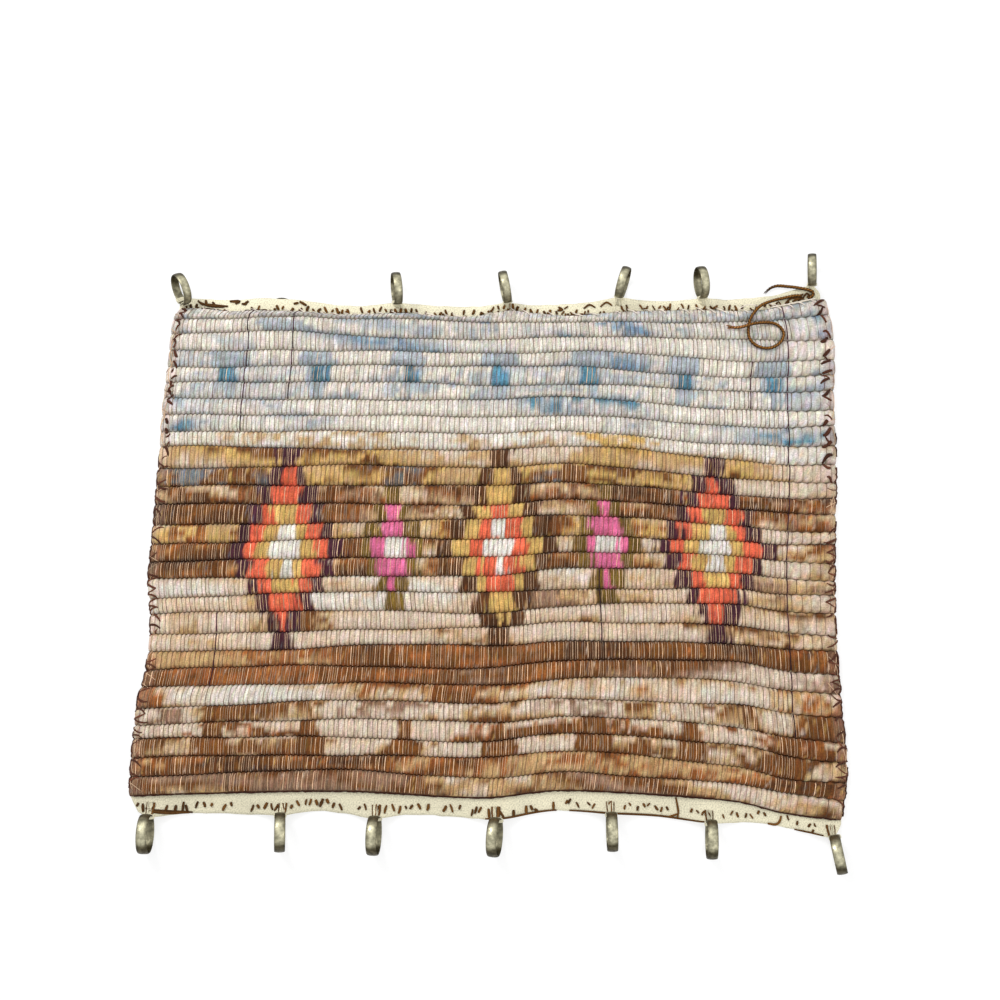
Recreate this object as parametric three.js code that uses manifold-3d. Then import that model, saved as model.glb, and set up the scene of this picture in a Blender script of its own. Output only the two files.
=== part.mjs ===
// A woven wool tapestry lying face up on a flat surface.
// Thick ribs of unspun wool run from side to side. A cotton tape is sewn behind the upper and the
// lower edge, and flat metal rings are tied to both tapes. Two loose ends of the brown edging
// yarn lie at the upper right corner.
// Millimetres, +Z up, +Y towards the upper edge. z = 0 is the surface that the tapestry lies on.

import * as THREE from 'three';
import { mergeVertices } from 'three/addons/utils/BufferGeometryUtils.js';
import Module from 'manifold-3d';

const wasm = await Module();
wasm.setup();

// ---- Driving dimensions -------------------------------------------------------------------

const GAP = 0.3;                  // left between pieces that touch

const weave = {
  ribs: 28,                       // rows of wool from the upper edge to the lower
  columns: 24,                    // facets from side to side
  groove: 3.4,                    // height where two ribs meet
  crown: 9.0,                     // height along the middle of a rib
  shoulder: 0.78,                 // share of the crown's rise that a rib's shoulder has
  rim: 0.62,                      // share of the height that is left at the side edges
  rimWidth: 8,                    // how far in from a side edge a rib reaches its full height
  bulge: 1.3,                     // how far a rib's end stands out between two grooves
  ripple: 1.5,                    // how far a groove wanders up and down
};

const tape = { width: 25, thickness: 1.2, step: 15, rise: 22, spread: 30 };

const ring = { edgeRelief: 0.3, segments: 24 };
const upperSize = { outer: 33, inner: 30, width: 8.5 };  // the upper rings are a smaller size
const lowerSize = { outer: 37, inner: 34, width: 10 };

const foldedRing = {
  showing: 2.5,                   // how far its rim stands out past the tape's edge
  margin: 1,                      // flat cloth kept round it
  reach: 60,                      // how far from its middle the cloth comes down again
};

const hollow = { step: 15, past: 30, inward: 120 };      // the grid of the room under a held-up edge

const yarn = { diameter: 3.6, sides: 8, step: 2 };       // one step of its tube, in diameters

// ---- Outline of the cloth -----------------------------------------------------------------
// Each edge is a smooth line through a few stations, from 0 to 1 along it.

const upperEdge = [
  { across: 0.00, y: 203.5 },
  { across: 0.25, y: 201.5 },
  { across: 0.50, y: 197.0 },
  { across: 0.74, y: 202.0 },
  { across: 0.94, y: 206.5 },
  { across: 1.00, y: 210.0 },
];

const lowerEdge = [
  { across: 0.00, y: -289.0 },
  { across: 0.10, y: -286.5 },
  { across: 0.30, y: -284.5 },
  { across: 0.50, y: -290.5 },
  { across: 0.60, y: -284.0 },
  { across: 0.70, y: -286.0 },
  { across: 0.80, y: -290.5 },
  { across: 0.86, y: -294.5 },
  { across: 0.92, y: -304.5 },
  { across: 1.00, y: -311.5 },
];

// How far the grooves run off their even places, in millimetres up (-) or down the cloth: the
// ribs aren't beaten down to an even height.
const runPlaces = { left: 0.15, middle: 0.57, right: 0.88 };
const ribRun = [
  { rib: 0, left: 0, middle: 0, right: 0 },
  { rib: 1, left: -4, middle: -5, right: 0 },
  { rib: 3, left: -5, middle: -8, right: 7 },
  { rib: 6, left: -7, middle: -10, right: 4 },
  { rib: 9, left: -7, middle: -11, right: 6 },
  { rib: 12, left: -1, middle: -9, right: 2 },
  { rib: 15, left: 3, middle: -6, right: -5 },
  { rib: 19, left: 3, middle: -5, right: -9 },
  { rib: 22, left: 4, middle: -2, right: -5 },
  { rib: 25, left: 2, middle: -1, right: 4 },
  { rib: 28, left: 0, middle: 0, right: 0 },
];

const leftEdge = [
  { down: 0.00, x: -327.0 },
  { down: 0.03, x: -333.5 },
  { down: 0.12, x: -336.5 },
  { down: 0.24, x: -340.0 },
  { down: 0.34, x: -340.5 },
  { down: 0.50, x: -343.5 },
  { down: 0.58, x: -345.0 },
  { down: 0.66, x: -340.5 },
  { down: 0.77, x: -343.5 },
  { down: 0.82, x: -349.5 },
  { down: 1.00, x: -353.0 },
];

const rightEdge = [
  { down: 0.00, x: 333.5 },
  { down: 0.09, x: 340.0 },
  { down: 0.18, x: 337.0 },
  { down: 0.33, x: 335.5 },
  { down: 0.60, x: 327.5 },
  { down: 0.80, x: 328.5 },
  { down: 0.91, x: 331.0 },
  { down: 1.00, x: 323.5 },
];

// ---- Outer edges of the two tapes ---------------------------------------------------------

const upperTapeEdge = [
  { x: -330, y: 212.5 },
  { x: -298, y: 211.0 },
  { x: -224, y: 208.5 },
  { x: -190, y: 206.5 },
  { x: -150, y: 204.0 },
  { x: -102, y: 205.8 },
  { x: -50, y: 203.5 },
  { x: 7, y: 204.0 },
  { x: 60, y: 205.5 },
  { x: 121, y: 209.5 },
  { x: 208, y: 209.5 },
  { x: 273, y: 214.0 },
  { x: 299, y: 219.5 },
  { x: 319, y: 224.5 },
  { x: 330, y: 226.0 },
];

const lowerTapeEdge = [
  { x: -353, y: -300.0 },
  { x: -334, y: -308.0 },
  { x: -295, y: -305.5 },
  { x: -207, y: -307.0 },
  { x: -172, y: -303.5 },
  { x: -120, y: -309.5 },
  { x: -80, y: -307.0 },
  { x: -4, y: -311.0 },
  { x: 50, y: -303.5 },
  { x: 105, y: -306.0 },
  { x: 150, y: -308.5 },
  { x: 199, y: -314.5 },
  { x: 250, y: -315.0 },
  { x: 294, y: -324.0 },
  { x: 314, y: -327.5 },
  { x: 325, y: -325.0 },
];

// ---- Rings --------------------------------------------------------------------------------
// x is where a ring meets its tape's edge, overlap how far it reaches in over that edge.
// turn swings its outer end round, lean tips its top towards +X, both in degrees.

const upperRings = [
  { x: -323, overlap: 11.5, turn: 27, lean: 22 },
  { x: -224, folded: true },
  { x: -104, overlap: 4.8, turn: 7, lean: 9 },
  { x: 8, overlap: 1.2, turn: 11, lean: 0 },
  { x: 121, overlap: 1.2, turn: -18, lean: -5 },
  { x: 208, overlap: 2.0, turn: 8, lean: 5 },
  { x: 319, overlap: 3.5, turn: -2, lean: -11 },
];

const lowerRings = [
  { x: -333, overlap: 2.0, turn: -1, lean: 2 },
  { x: -207, overlap: 2.5, turn: 1, lean: 8 },
  { x: -118, overlap: 2.0, turn: -2, lean: -4 },
  { x: -4, overlap: 2.0, turn: -4, lean: -10 },
  { x: 105, overlap: 2.0, turn: 1, lean: -2 },
  { x: 199, overlap: 3.5, turn: -1, lean: -4 },
  { x: 314, overlap: 2.5, turn: 10, lean: -13 },
];

// ---- Loose yarn ends: centre lines --------------------------------------------------------

const loopRoute = [
  [310.0, 213.8, 4.5], [304.0, 213.9, 4.2], [298.0, 213.0, 3.7], [290.5, 211.2, 3.9],
  [283.0, 208.9, 5.8], [276.5, 206.0, 8.6], [270.0, 202.9, 10.7], [264.5, 199.2, 11.2],
  [260.3, 194.6, 11.2], [256.8, 189.5, 11.2], [254.2, 183.5, 11.2], [253.0, 177.0, 11.2],
  [252.7, 171.5, 11.2], [253.6, 166.0, 11.2], [257.0, 160.8, 11.2], [262.0, 157.2, 11.2],
  [268.0, 155.4, 11.2], [274.5, 155.5, 11.2], [280.5, 158.0, 11.2], [285.5, 162.2, 11.2],
  [288.3, 167.8, 11.2], [288.0, 173.3, 11.2], [285.0, 178.0, 11.2], [279.8, 181.4, 11.2],
  [273.5, 182.6, 11.2], [267.0, 182.3, 11.7], [261.5, 181.2, 13.7], [256.3, 179.7, 15.3],
  [251.0, 178.0, 15.3], [246.2, 177.1, 13.5], [241.5, 177.0, 11.6], [236.8, 177.4, 11.2],
  [232.3, 177.9, 11.2],
];

const shortRoute = [
  [317.4, 211.0, 4.4], [321.4, 213.8, 5.2], [321.6, 217.0, 6.3], [317.8, 219.0, 6.8],
  [312.5, 220.4, 6.8], [307.0, 221.6, 6.4], [301.8, 222.9, 5.3], [296.2, 224.2, 3.4],
  [290.5, 225.4, 2.0], [285.5, 225.4, 2.0], [280.0, 223.6, 2.0], [276.0, 220.6, 2.0],
  [273.0, 217.4, 2.0],
];

// ---- Shared helpers -----------------------------------------------------------------------

// A smooth line through the stations of a table, read at one value of its first column.
function lineThrough(stations, key, value, at) {
  let i = 1;
  while (i < stations.length - 1 && at > stations[i][key]) i += 1;
  const a = stations[i - 1];
  const b = stations[i];
  const before = stations[i - 2] ?? a;
  const after = stations[i + 1] ?? b;
  const span = b[key] - a[key];
  const f = (at - a[key]) / span;
  const slopeA = ((b[value] - before[value]) / (b[key] - before[key])) * span;
  const slopeB = ((after[value] - a[value]) / (after[key] - a[key])) * span;
  const rest = 1 - f;
  const hold = a[value] * (1 + 2 * f) * rest * rest + b[value] * f * f * (3 - 2 * f);
  return hold + slopeA * f * rest * rest - slopeB * f * f * rest;
}

// 0 below low, 1 above high, with a soft start and end.
function softStep(value, low, high) {
  const f = Math.min(Math.max((value - low) / (high - low), 0), 1);
  return f * f * (3 - 2 * f);
}

function indexedGeometry(points, faces) {
  const geometry = new THREE.BufferGeometry();
  geometry.setAttribute('position', new THREE.Float32BufferAttribute(points.flat(), 3));
  geometry.setIndex(faces);
  return geometry;
}

// The rim of a grid of points, as indices, anticlockwise from above.
function rimOf(rows, columns) {
  const rim = [];
  for (let i = 0; i < rows - 1; i += 1) rim.push(i * columns);
  for (let j = 0; j < columns - 1; j += 1) rim.push((rows - 1) * columns + j);
  for (let i = rows - 1; i > 0; i -= 1) rim.push(i * columns + columns - 1);
  for (let j = columns - 1; j > 0; j -= 1) rim.push(j);
  return rim;
}

// The two triangles of every cell of a grid, facing up.
function gridFaces(rows, columns) {
  const faces = [];
  for (let i = 0; i < rows - 1; i += 1) {
    for (let j = 0; j < columns - 1; j += 1) {
      const a = i * columns + j;
      const b = a + columns;
      faces.push(a, b, b + 1, a, b + 1, a + 1);
    }
  }
  return faces;
}

// The wall that joins an upper rim to a lower one, facing out.
function wallFaces(upperRim, lowerRim) {
  const faces = [];
  upperRim.forEach((a, i) => {
    const next = (i + 1) % upperRim.length;
    faces.push(upperRim[next], a, lowerRim[i], upperRim[next], lowerRim[i], lowerRim[next]);
  });
  return faces;
}

// A closed body between two grids of points over the same rows and columns.
function bodyBetween(upper, lower) {
  const rows = upper.length;
  const columns = upper[0].length;
  const below = rows * columns;
  const rim = rimOf(rows, columns);
  const top = gridFaces(rows, columns);
  const underside = [...top].reverse().map((index) => index + below);
  const walls = wallFaces(rim, rim.map((index) => index + below));
  return indexedGeometry([...upper.flat(), ...lower.flat()], [...top, ...underside, ...walls]);
}

// A closed body from a grid of points down to one flat face at the given height.
function bodyOnFlat(upper, height) {
  const rows = upper.length;
  const columns = upper[0].length;
  const points = upper.flat();
  const rim = rimOf(rows, columns);
  const foot = rim.map((_, i) => points.length + i);
  const outline = rim.map((index) => new THREE.Vector2(points[index][0], points[index][1]));
  const flat = THREE.ShapeUtils.triangulateShape(outline, [])
    .flatMap(([a, b, c]) => [foot[a], foot[c], foot[b]]);
  const footPoints = outline.map(({ x, y }) => [x, y, height]);
  const faces = [...gridFaces(rows, columns), ...wallFaces(rim, foot), ...flat];
  return indexedGeometry([...points, ...footPoints], faces);
}

function solidOf(geometry) {
  const bare = geometry.clone();
  bare.deleteAttribute('normal');
  bare.deleteAttribute('uv');
  const merged = mergeVertices(bare, 1e-4);
  return new wasm.Manifold(new wasm.Mesh({
    numProp: 3,
    vertProperties: new Float32Array(merged.attributes.position.array),
    triVerts: new Uint32Array(merged.index.array),
  }));
}

function geometryOf(solid) {
  const mesh = solid.getMesh();
  const geometry = new THREE.BufferGeometry();
  geometry.setAttribute('position', new THREE.BufferAttribute(mesh.vertProperties, 3));
  geometry.setIndex(new THREE.BufferAttribute(mesh.triVerts, 1));
  geometry.computeVertexNormals();
  return geometry;
}

// ---- Rings --------------------------------------------------------------------------------

// A ring about its own X axis. With clearance it is the full disc that a neighbour keeps out of.
function ringGeometry(size, clearance = 0) {
  const half = size.width / 2 + clearance;
  const bore = clearance > 0 ? 0 : size.inner / 2;
  const crown = size.outer / 2 + clearance;
  const edge = crown - (clearance > 0 ? 0 : ring.edgeRelief);
  const profile = [[bore, -half], [edge, -half], [crown, 0], [edge, half], [bore, half]];
  if (bore > 0) profile.push([bore, -half]);
  const geometry = new THREE.LatheGeometry(
    profile.map(([r, along]) => new THREE.Vector2(r, along)),
    ring.segments,
  );
  return geometry.rotateZ(-Math.PI / 2);
}

// Sets a standing ring so that its lowest point is on z = 0 and its near side meets the tape.
function standRing(row, size, edgeStations, outward) {
  const edgeY = lineThrough(edgeStations, 'x', 'y', row.x);
  const turn = THREE.MathUtils.degToRad(row.turn);
  const lean = THREE.MathUtils.degToRad(row.lean);
  const place = new THREE.Object3D();
  place.rotation.set(0, lean, turn, 'ZYX');
  const radius = size.outer / 2;
  const reach = outward * (radius - row.overlap);
  const swing = new THREE.Matrix4().makeRotationFromEuler(place.rotation);
  const turned = ringGeometry(size).applyMatrix4(swing);
  turned.computeBoundingBox();
  const height = -turned.boundingBox.min.z;
  place.position.set(row.x - Math.sin(turn) * reach, edgeY + Math.cos(turn) * reach, height);
  const drop = Math.sqrt(radius ** 2 - (radius - row.overlap) ** 2);
  return { ...row, size, place, edgeY, contact: height - drop };
}

// The folded ring lies flat under the tape and the cloth, with its rim just past the tape's edge.
function layRing(row, size, edgeStations, outward) {
  const edgeY = lineThrough(edgeStations, 'x', 'y', row.x);
  const place = new THREE.Object3D();
  place.rotation.set(0, Math.PI / 2, 0);
  const inset = size.outer / 2 - foldedRing.showing;
  place.position.set(row.x, edgeY - outward * inset, size.width / 2);
  return { ...row, size, place, edgeY };
}

const settle = (rows, size, stations, outward) => rows.map((row) => (
  row.folded ? layRing(row, size, stations, outward) : standRing(row, size, stations, outward)
));

const seats = {
  upper: settle(upperRings, upperSize, upperTapeEdge, 1),
  lower: settle(lowerRings, lowerSize, lowerTapeEdge, -1),
};

function discOf(seat) {
  seat.place.updateMatrix();
  return solidOf(ringGeometry(seat.size, GAP).applyMatrix4(seat.place.matrix));
}

// ---- How far the rings hold the tapes and the cloth's edge up ------------------------------

// 1 at no distance, 0 from the given reach on, with a soft start and end.
const fade = (distance, reach) => 1 - THREE.MathUtils.smoothstep(Math.abs(distance), 0, reach);

function liftAt(x, y, seatList, outward) {
  let lift = 0;
  for (const seat of seatList) {
    if (seat.folded) {
      const centre = seat.place.position;
      const flatTo = seat.size.outer / 2 + foldedRing.margin;
      const past = Math.max(Math.hypot(x - centre.x, y - centre.y) - flatTo, 0);
      const mound = (seat.size.width + GAP) * fade(past, foldedRing.reach - flatTo);
      lift = Math.max(lift, mound);
    } else {
      const inward = Math.max(outward * (seat.edgeY - y), 0);
      const share = Math.max(1 - inward / tape.rise, 0) ** 2;
      const held = Math.max(seat.contact - tape.thickness, 0);
      lift = Math.max(lift, held * share * fade(x - seat.x, tape.spread));
    }
  }
  return lift;
}

const groundAt = (x, y) => Math.max(
  liftAt(x, y, seats.upper, 1),
  liftAt(x, y, seats.lower, -1),
);

// ---- Cloth --------------------------------------------------------------------------------

// The point at a share of the way across and down the cloth, from its four edges.
function clothPoint(across, down) {
  const upper = lineThrough(upperEdge, 'across', 'y', across);
  const lower = lineThrough(lowerEdge, 'across', 'y', across);
  const left = lineThrough(leftEdge, 'down', 'x', down);
  const right = lineThrough(rightEdge, 'down', 'x', down);
  return [left + (right - left) * across, upper + (lower - upper) * down];
}

// How far groove number k wanders from its even place, in millimetres down the cloth.
function grooveWander(across, k) {
  if (k <= 0 || k >= weave.ribs) return 0;
  const slow = Math.sin(2 * Math.PI * (1.4 * across + 0.31 * k));
  const quick = Math.sin(2 * Math.PI * (3.1 * across + 0.47 * k + 0.2));
  const inward = softStep(across, runPlaces.left, runPlaces.middle);
  const beyond = softStep(across, runPlaces.middle, runPlaces.right);
  const run = lineThrough(ribRun, 'rib', 'left', k) * (1 - inward)
    + lineThrough(ribRun, 'rib', 'middle', k) * inward * (1 - beyond)
    + lineThrough(ribRun, 'rib', 'right', k) * beyond;
  return run + weave.ripple * (0.65 * slow + 0.35 * quick);
}

function clothTop() {
  const rimShare = weave.rimWidth / (rightEdge[0].x - leftEdge[0].x);
  const columns = [0, rimShare];
  for (let j = 1; j < weave.columns; j += 1) columns.push(j / weave.columns);
  columns.push(1 - rimShare, 1);

  const facets = [
    { at: 0.0, rise: 0 },
    { at: 0.2, rise: weave.shoulder },
    { at: 0.5, rise: 1 },
    { at: 0.8, rise: weave.shoulder },
  ];
  const rows = [];
  for (let k = 0; k < weave.ribs; k += 1) {
    facets.forEach((facet) => rows.push({ k, ...facet }));
  }
  rows.push({ k: weave.ribs, at: 0, rise: 0 });

  const height = upperEdge[0].y - lowerEdge[0].y;
  return rows.map(({ k, at, rise }) => columns.map((across) => {
    const wander = grooveWander(across, k) * (1 - at) + grooveWander(across, k + 1) * at;
    const [x, y] = clothPoint(across, (k + at) / weave.ribs + wander / height);
    const side = across < 0.5 ? -1 : 1;
    const isRim = across === 0 || across === 1;
    const bulge = isRim ? side * weave.bulge * rise : 0;
    const full = weave.groove + (weave.crown - weave.groove) * rise;
    return [x + bulge, y, groundAt(x, y) + full * (isRim ? weave.rim : 1)];
  }));
}

// The hollow under the cloth where its edge is held up, on a coarser grid than the ribs.
function hollowUnder(stations, seatList, outward) {
  const first = stations[0].x - hollow.past;
  const last = stations[stations.length - 1].x + hollow.past;
  const rows = [];
  for (let inward = -hollow.past; inward <= hollow.inward; inward += hollow.step) {
    const y = stations[0].y - outward * inward;
    const row = [];
    for (let x = first; x <= last + hollow.step; x += hollow.step) {
      row.push([x, y, liftAt(x, y, seatList, outward) - GAP]);
    }
    rows.push(row);
  }
  if (outward < 0) rows.reverse();
  return solidOf(bodyOnFlat(rows, -weave.crown));
}

// ---- Tapes --------------------------------------------------------------------------------

// With clearance it is the room that the tape needs under the cloth.
function tapeSolid(stations, seatList, outward, clearance = 0) {
  const first = stations[0].x - clearance;
  const last = stations[stations.length - 1].x + clearance;
  const columns = [first, last, ...seatList.map((seat) => seat.x)];
  for (let x = first; x < last; x += tape.step) {
    const isFree = columns.every((other) => Math.abs(other - x) > tape.step / 2);
    if (isFree) columns.push(x);
  }
  columns.sort((a, b) => a - b);
  const acrossTape = [0, 0.25, 0.5, 0.75, 1].map((share) => share * tape.width);
  const rows = acrossTape.map((inward, i) => {
    const extra = i === acrossTape.length - 1 ? clearance : 0;
    return columns.map((x) => {
      const y = lineThrough(stations, 'x', 'y', x) - outward * (inward + extra);
      return [x, y, liftAt(x, y, seatList, outward)];
    });
  });
  if (outward < 0) rows.reverse();
  const raised = rows.map((row) => row.map(([x, y, z]) => [x, y, z + tape.thickness + clearance]));
  const under = rows.map((row) => row.map(([x, y, z]) => [x, y, clearance > 0 ? -weave.crown : z]));
  return solidOf(bodyBetween(raised, under));
}

const discs = {
  upper: seats.upper.map(discOf),
  lower: seats.lower.map(discOf),
};

function without(solid, others) {
  return others.reduce((left, other) => left.subtract(other), solid);
}

// ---- Yarn ---------------------------------------------------------------------------------

function yarnGeometry(route) {
  const line = new THREE.CatmullRomCurve3(route.map((point) => new THREE.Vector3(...point)));
  const section = new THREE.Shape();
  const r = yarn.diameter / 2;
  for (let i = 0; i < yarn.sides; i += 1) {
    const angle = (2 * Math.PI * i) / yarn.sides;
    const x = r * Math.cos(angle);
    const y = r * Math.sin(angle);
    if (i === 0) section.moveTo(x, y);
    else section.lineTo(x, y);
  }
  section.closePath();
  const steps = Math.round(line.getLength() / (yarn.step * yarn.diameter));
  return new THREE.ExtrudeGeometry(section, { steps, extrudePath: line });
}

// ---- The part -----------------------------------------------------------------------------

const materials = {
  wool: new THREE.MeshStandardMaterial({ color: 0xcdb99a, roughness: 0.95 }),
  cotton: new THREE.MeshStandardMaterial({ color: 0xe6e2cc, roughness: 0.9 }),
  metal: new THREE.MeshStandardMaterial({ color: 0xa8a58a, roughness: 0.35, metalness: 1 }),
  yarn: new THREE.MeshStandardMaterial({ color: 0x6b4424, roughness: 0.9 }),
};

const part = new THREE.Group();

function addPiece(name, geometry, material) {
  const mesh = new THREE.Mesh(geometry, material);
  mesh.name = name;
  part.add(mesh);
  return mesh;
}

const clothSolid = without(solidOf(bodyOnFlat(clothTop(), 0)), [
  hollowUnder(upperTapeEdge, seats.upper, 1),
  hollowUnder(lowerTapeEdge, seats.lower, -1),
  tapeSolid(upperTapeEdge, seats.upper, 1, GAP),
  tapeSolid(lowerTapeEdge, seats.lower, -1, GAP),
  ...discs.upper,
  ...discs.lower,
]);
addPiece('tapestry', geometryOf(clothSolid), materials.wool);

const upperTape = without(tapeSolid(upperTapeEdge, seats.upper, 1), discs.upper);
const lowerTape = without(tapeSolid(lowerTapeEdge, seats.lower, -1), discs.lower);
addPiece('tape_top', geometryOf(upperTape), materials.cotton);
addPiece('tape_bottom', geometryOf(lowerTape), materials.cotton);

for (const [edge, list] of [['top', seats.upper], ['bottom', seats.lower]]) {
  list.forEach((seat, i) => {
    const mesh = addPiece(`ring_${edge}_${i + 1}`, ringGeometry(seat.size), materials.metal);
    mesh.position.copy(seat.place.position);
    mesh.rotation.copy(seat.place.rotation);
  });
}

// The origin is under the middle of the tapestry's box, measured without the loose yarn.
const box = new THREE.Box3().setFromObject(part, true);
const middle = box.getCenter(new THREE.Vector3());

addPiece('yarn_end_loop', yarnGeometry(loopRoute), materials.yarn);
addPiece('yarn_end_short', yarnGeometry(shortRoute), materials.yarn);
part.position.set(-middle.x, -middle.y, -box.min.z);

export default part;
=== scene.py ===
"""A woven wool tapestry, face up, with a cotton tape and curtain rings along two edges."""
import math

import bmesh
import bpy
import numpy as np
from bpy.props import FloatProperty, FloatVectorProperty, IntProperty, PointerProperty
from mathutils import Matrix, Vector


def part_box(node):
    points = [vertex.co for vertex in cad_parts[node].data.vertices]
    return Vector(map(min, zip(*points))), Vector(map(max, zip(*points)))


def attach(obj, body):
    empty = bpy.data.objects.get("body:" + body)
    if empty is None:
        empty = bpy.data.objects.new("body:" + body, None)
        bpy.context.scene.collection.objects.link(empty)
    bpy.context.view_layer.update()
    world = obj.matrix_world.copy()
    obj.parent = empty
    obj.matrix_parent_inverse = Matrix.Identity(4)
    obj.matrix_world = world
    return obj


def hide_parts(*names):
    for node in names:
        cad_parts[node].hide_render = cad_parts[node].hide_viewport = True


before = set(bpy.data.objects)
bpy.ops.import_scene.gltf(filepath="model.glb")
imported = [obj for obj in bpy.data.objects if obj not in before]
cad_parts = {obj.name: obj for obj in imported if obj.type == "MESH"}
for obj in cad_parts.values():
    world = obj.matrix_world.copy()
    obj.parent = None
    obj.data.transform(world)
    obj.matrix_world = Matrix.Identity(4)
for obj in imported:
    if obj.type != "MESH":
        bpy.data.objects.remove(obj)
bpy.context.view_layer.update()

bl_info = {
    "name": "Woven Wool Tapestry",
    "version": (1, 0, 0),
    "blender": (4, 5, 0),
    "location": "View3D > Sidebar > Tapestry",
    "description": "Dresses the packed tapestry with ribs of wool, tapes, stitches, rings and yarn",
    "category": "Object",
}

MM = 0.001
SEED = 1723

# ---- Values repeated from the part's source, in millimetres ---------------------------------

# The weave's own zero, seen from the frame's origin.
SHIFT = np.array((6.344, 54.022, 0.0))

RIBS = 28
GAP = 0.3
GROOVE = 3.4
CROWN = 9.0
RIM_SHARE = 0.62
RIM_WIDTH = 8.0
RIB_BULGE = 1.3
RIPPLE = 1.5

TAPE_WIDTH = 25.0
TAPE_THICKNESS = 1.2
TAPE_RISE = 22.0
TAPE_SPREAD = 30.0

UPPER_RING = {"outer": 33.0, "inner": 30.0, "width": 8.5}
LOWER_RING = {"outer": 37.0, "inner": 34.0, "width": 10.0}
FOLDED_SHOWING = 2.5
FOLDED_MARGIN = 1.0
FOLDED_REACH = 60.0

# Edges of the cloth: share along the edge, place in millimetres.
UPPER_EDGE = ((0, 203.5), (0.25, 201.5), (0.5, 197), (0.74, 202), (0.94, 206.5), (1, 210))
LOWER_EDGE = (
    (0, -289), (0.1, -286.5), (0.3, -284.5), (0.5, -290.5), (0.6, -284), (0.7, -286),
    (0.8, -290.5), (0.86, -294.5), (0.92, -304.5), (1, -311.5),
)
LEFT_EDGE = (
    (0, -327), (0.03, -333.5), (0.12, -336.5), (0.24, -340), (0.34, -340.5), (0.5, -343.5),
    (0.58, -345), (0.66, -340.5), (0.77, -343.5), (0.82, -349.5), (1, -353),
)
RIGHT_EDGE = (
    (0, 333.5), (0.09, 340), (0.18, 337), (0.33, 335.5), (0.6, 327.5),
    (0.8, 328.5), (0.91, 331), (1, 323.5),
)

# How far the grooves run off their even places, up (-) or down the cloth: rib, left, middle, right.
RUN_PLACES = (0.15, 0.57, 0.88)
RIB_RUN = (
    (0, 0, 0, 0), (1, -4, -5, 0), (3, -5, -8, 7), (6, -7, -10, 4), (9, -7, -11, 6), (12, -1, -9, 2),
    (15, 3, -6, -5), (19, 3, -5, -9), (22, 4, -2, -5), (25, 2, -1, 4), (28, 0, 0, 0),
)

# Outer edges of the two tapes: x, y.
UPPER_TAPE = (
    (-330, 212.5), (-298, 211), (-224, 208.5), (-190, 206.5), (-150, 204), (-102, 205.8),
    (-50, 203.5), (7, 204), (60, 205.5), (121, 209.5), (208, 209.5), (273, 214),
    (299, 219.5), (319, 224.5), (330, 226),
)
LOWER_TAPE = (
    (-353, -300), (-334, -308), (-295, -305.5), (-207, -307), (-172, -303.5), (-120, -309.5),
    (-80, -307), (-4, -311), (50, -303.5), (105, -306), (150, -308.5), (199, -314.5),
    (250, -315), (294, -324), (314, -327.5), (325, -325),
)

# Each ring: where it meets its tape's edge, and how far it reaches in over that edge.
UPPER_SEATS = (
    (-323, 11.5), (-224, None), (-104, 4.8), (8, 1.2), (121, 1.2), (208, 2.0), (319, 3.5),
)
LOWER_SEATS = (
    (-333, 2.0), (-207, 2.5), (-118, 2.0), (-4, 2.0), (105, 2.0), (199, 3.5), (314, 2.5),
)

# The middle lines of the two loose yarn ends, from under the cloth's edge out.
LOOP_ROUTE = (
    (310.0, 213.8, 4.5), (304.0, 213.9, 4.2), (298.0, 213.0, 3.7), (290.5, 211.2, 3.9),
    (283.0, 208.9, 5.8), (276.5, 206.0, 8.6), (270.0, 202.9, 10.7), (264.5, 199.2, 11.2),
    (260.3, 194.6, 11.2), (256.8, 189.5, 11.2), (254.2, 183.5, 11.2), (253.0, 177.0, 11.2),
    (252.7, 171.5, 11.2), (253.6, 166.0, 11.2), (257.0, 160.8, 11.2), (262.0, 157.2, 11.2),
    (268.0, 155.4, 11.2), (274.5, 155.5, 11.2), (280.5, 158.0, 11.2), (285.5, 162.2, 11.2),
    (288.3, 167.8, 11.2), (288.0, 173.3, 11.2), (285.0, 178.0, 11.2), (279.8, 181.4, 11.2),
    (273.5, 182.6, 11.2), (267.0, 182.3, 11.7), (261.5, 181.2, 13.7), (256.3, 179.7, 15.3),
    (251.0, 178.0, 15.3), (246.2, 177.1, 13.5), (241.5, 177.0, 11.6), (236.8, 177.4, 11.2),
    (232.3, 177.9, 11.2),
)
SHORT_ROUTE = (
    (317.4, 211.0, 4.4), (321.4, 213.8, 5.2), (321.6, 217.0, 6.3), (317.8, 219.0, 6.8),
    (312.5, 220.4, 6.8), (307.0, 221.6, 6.4), (301.8, 222.9, 5.3), (296.2, 224.2, 3.4),
    (290.5, 225.4, 2.0), (285.5, 225.4, 2.0), (280.0, 223.6, 2.0), (276.0, 220.6, 2.0),
    (273.0, 217.4, 2.0),
)

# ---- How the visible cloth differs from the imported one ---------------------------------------

# About how far apart the ribs are and how wide the cloth is, to turn millimetres into shares.
RIB_PITCH = 17.8
CLOTH_WIDTH = 672

SCALLOP = 0.45          # how far the beads of one rib push into the next, in millimetres
# The painted shade in the hollows of the weave is browner than the crowns, as the binding threads show
# there: powers of that shade in red, green, blue.
PAINTED_SHADE_WARMTH = np.array((1.0, 1.1, 1.28))
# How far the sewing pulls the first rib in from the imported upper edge, by share across.
UPPER_INSET = (
    (0, 3.2), (0.03, 3.2), (0.09, 6.6), (0.2, 8.4), (0.27, 7.2), (0.35, 4.8), (0.42, 6.2),
    (0.46, 5.4), (0.507, 0.6), (0.55, 2.6), (0.6, 6.2), (0.66, 5), (0.73, 4.2), (0.8, 5.2),
    (0.89, 7.4), (0.93, 4.4), (0.98, 0), (1, 0),
)


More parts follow.
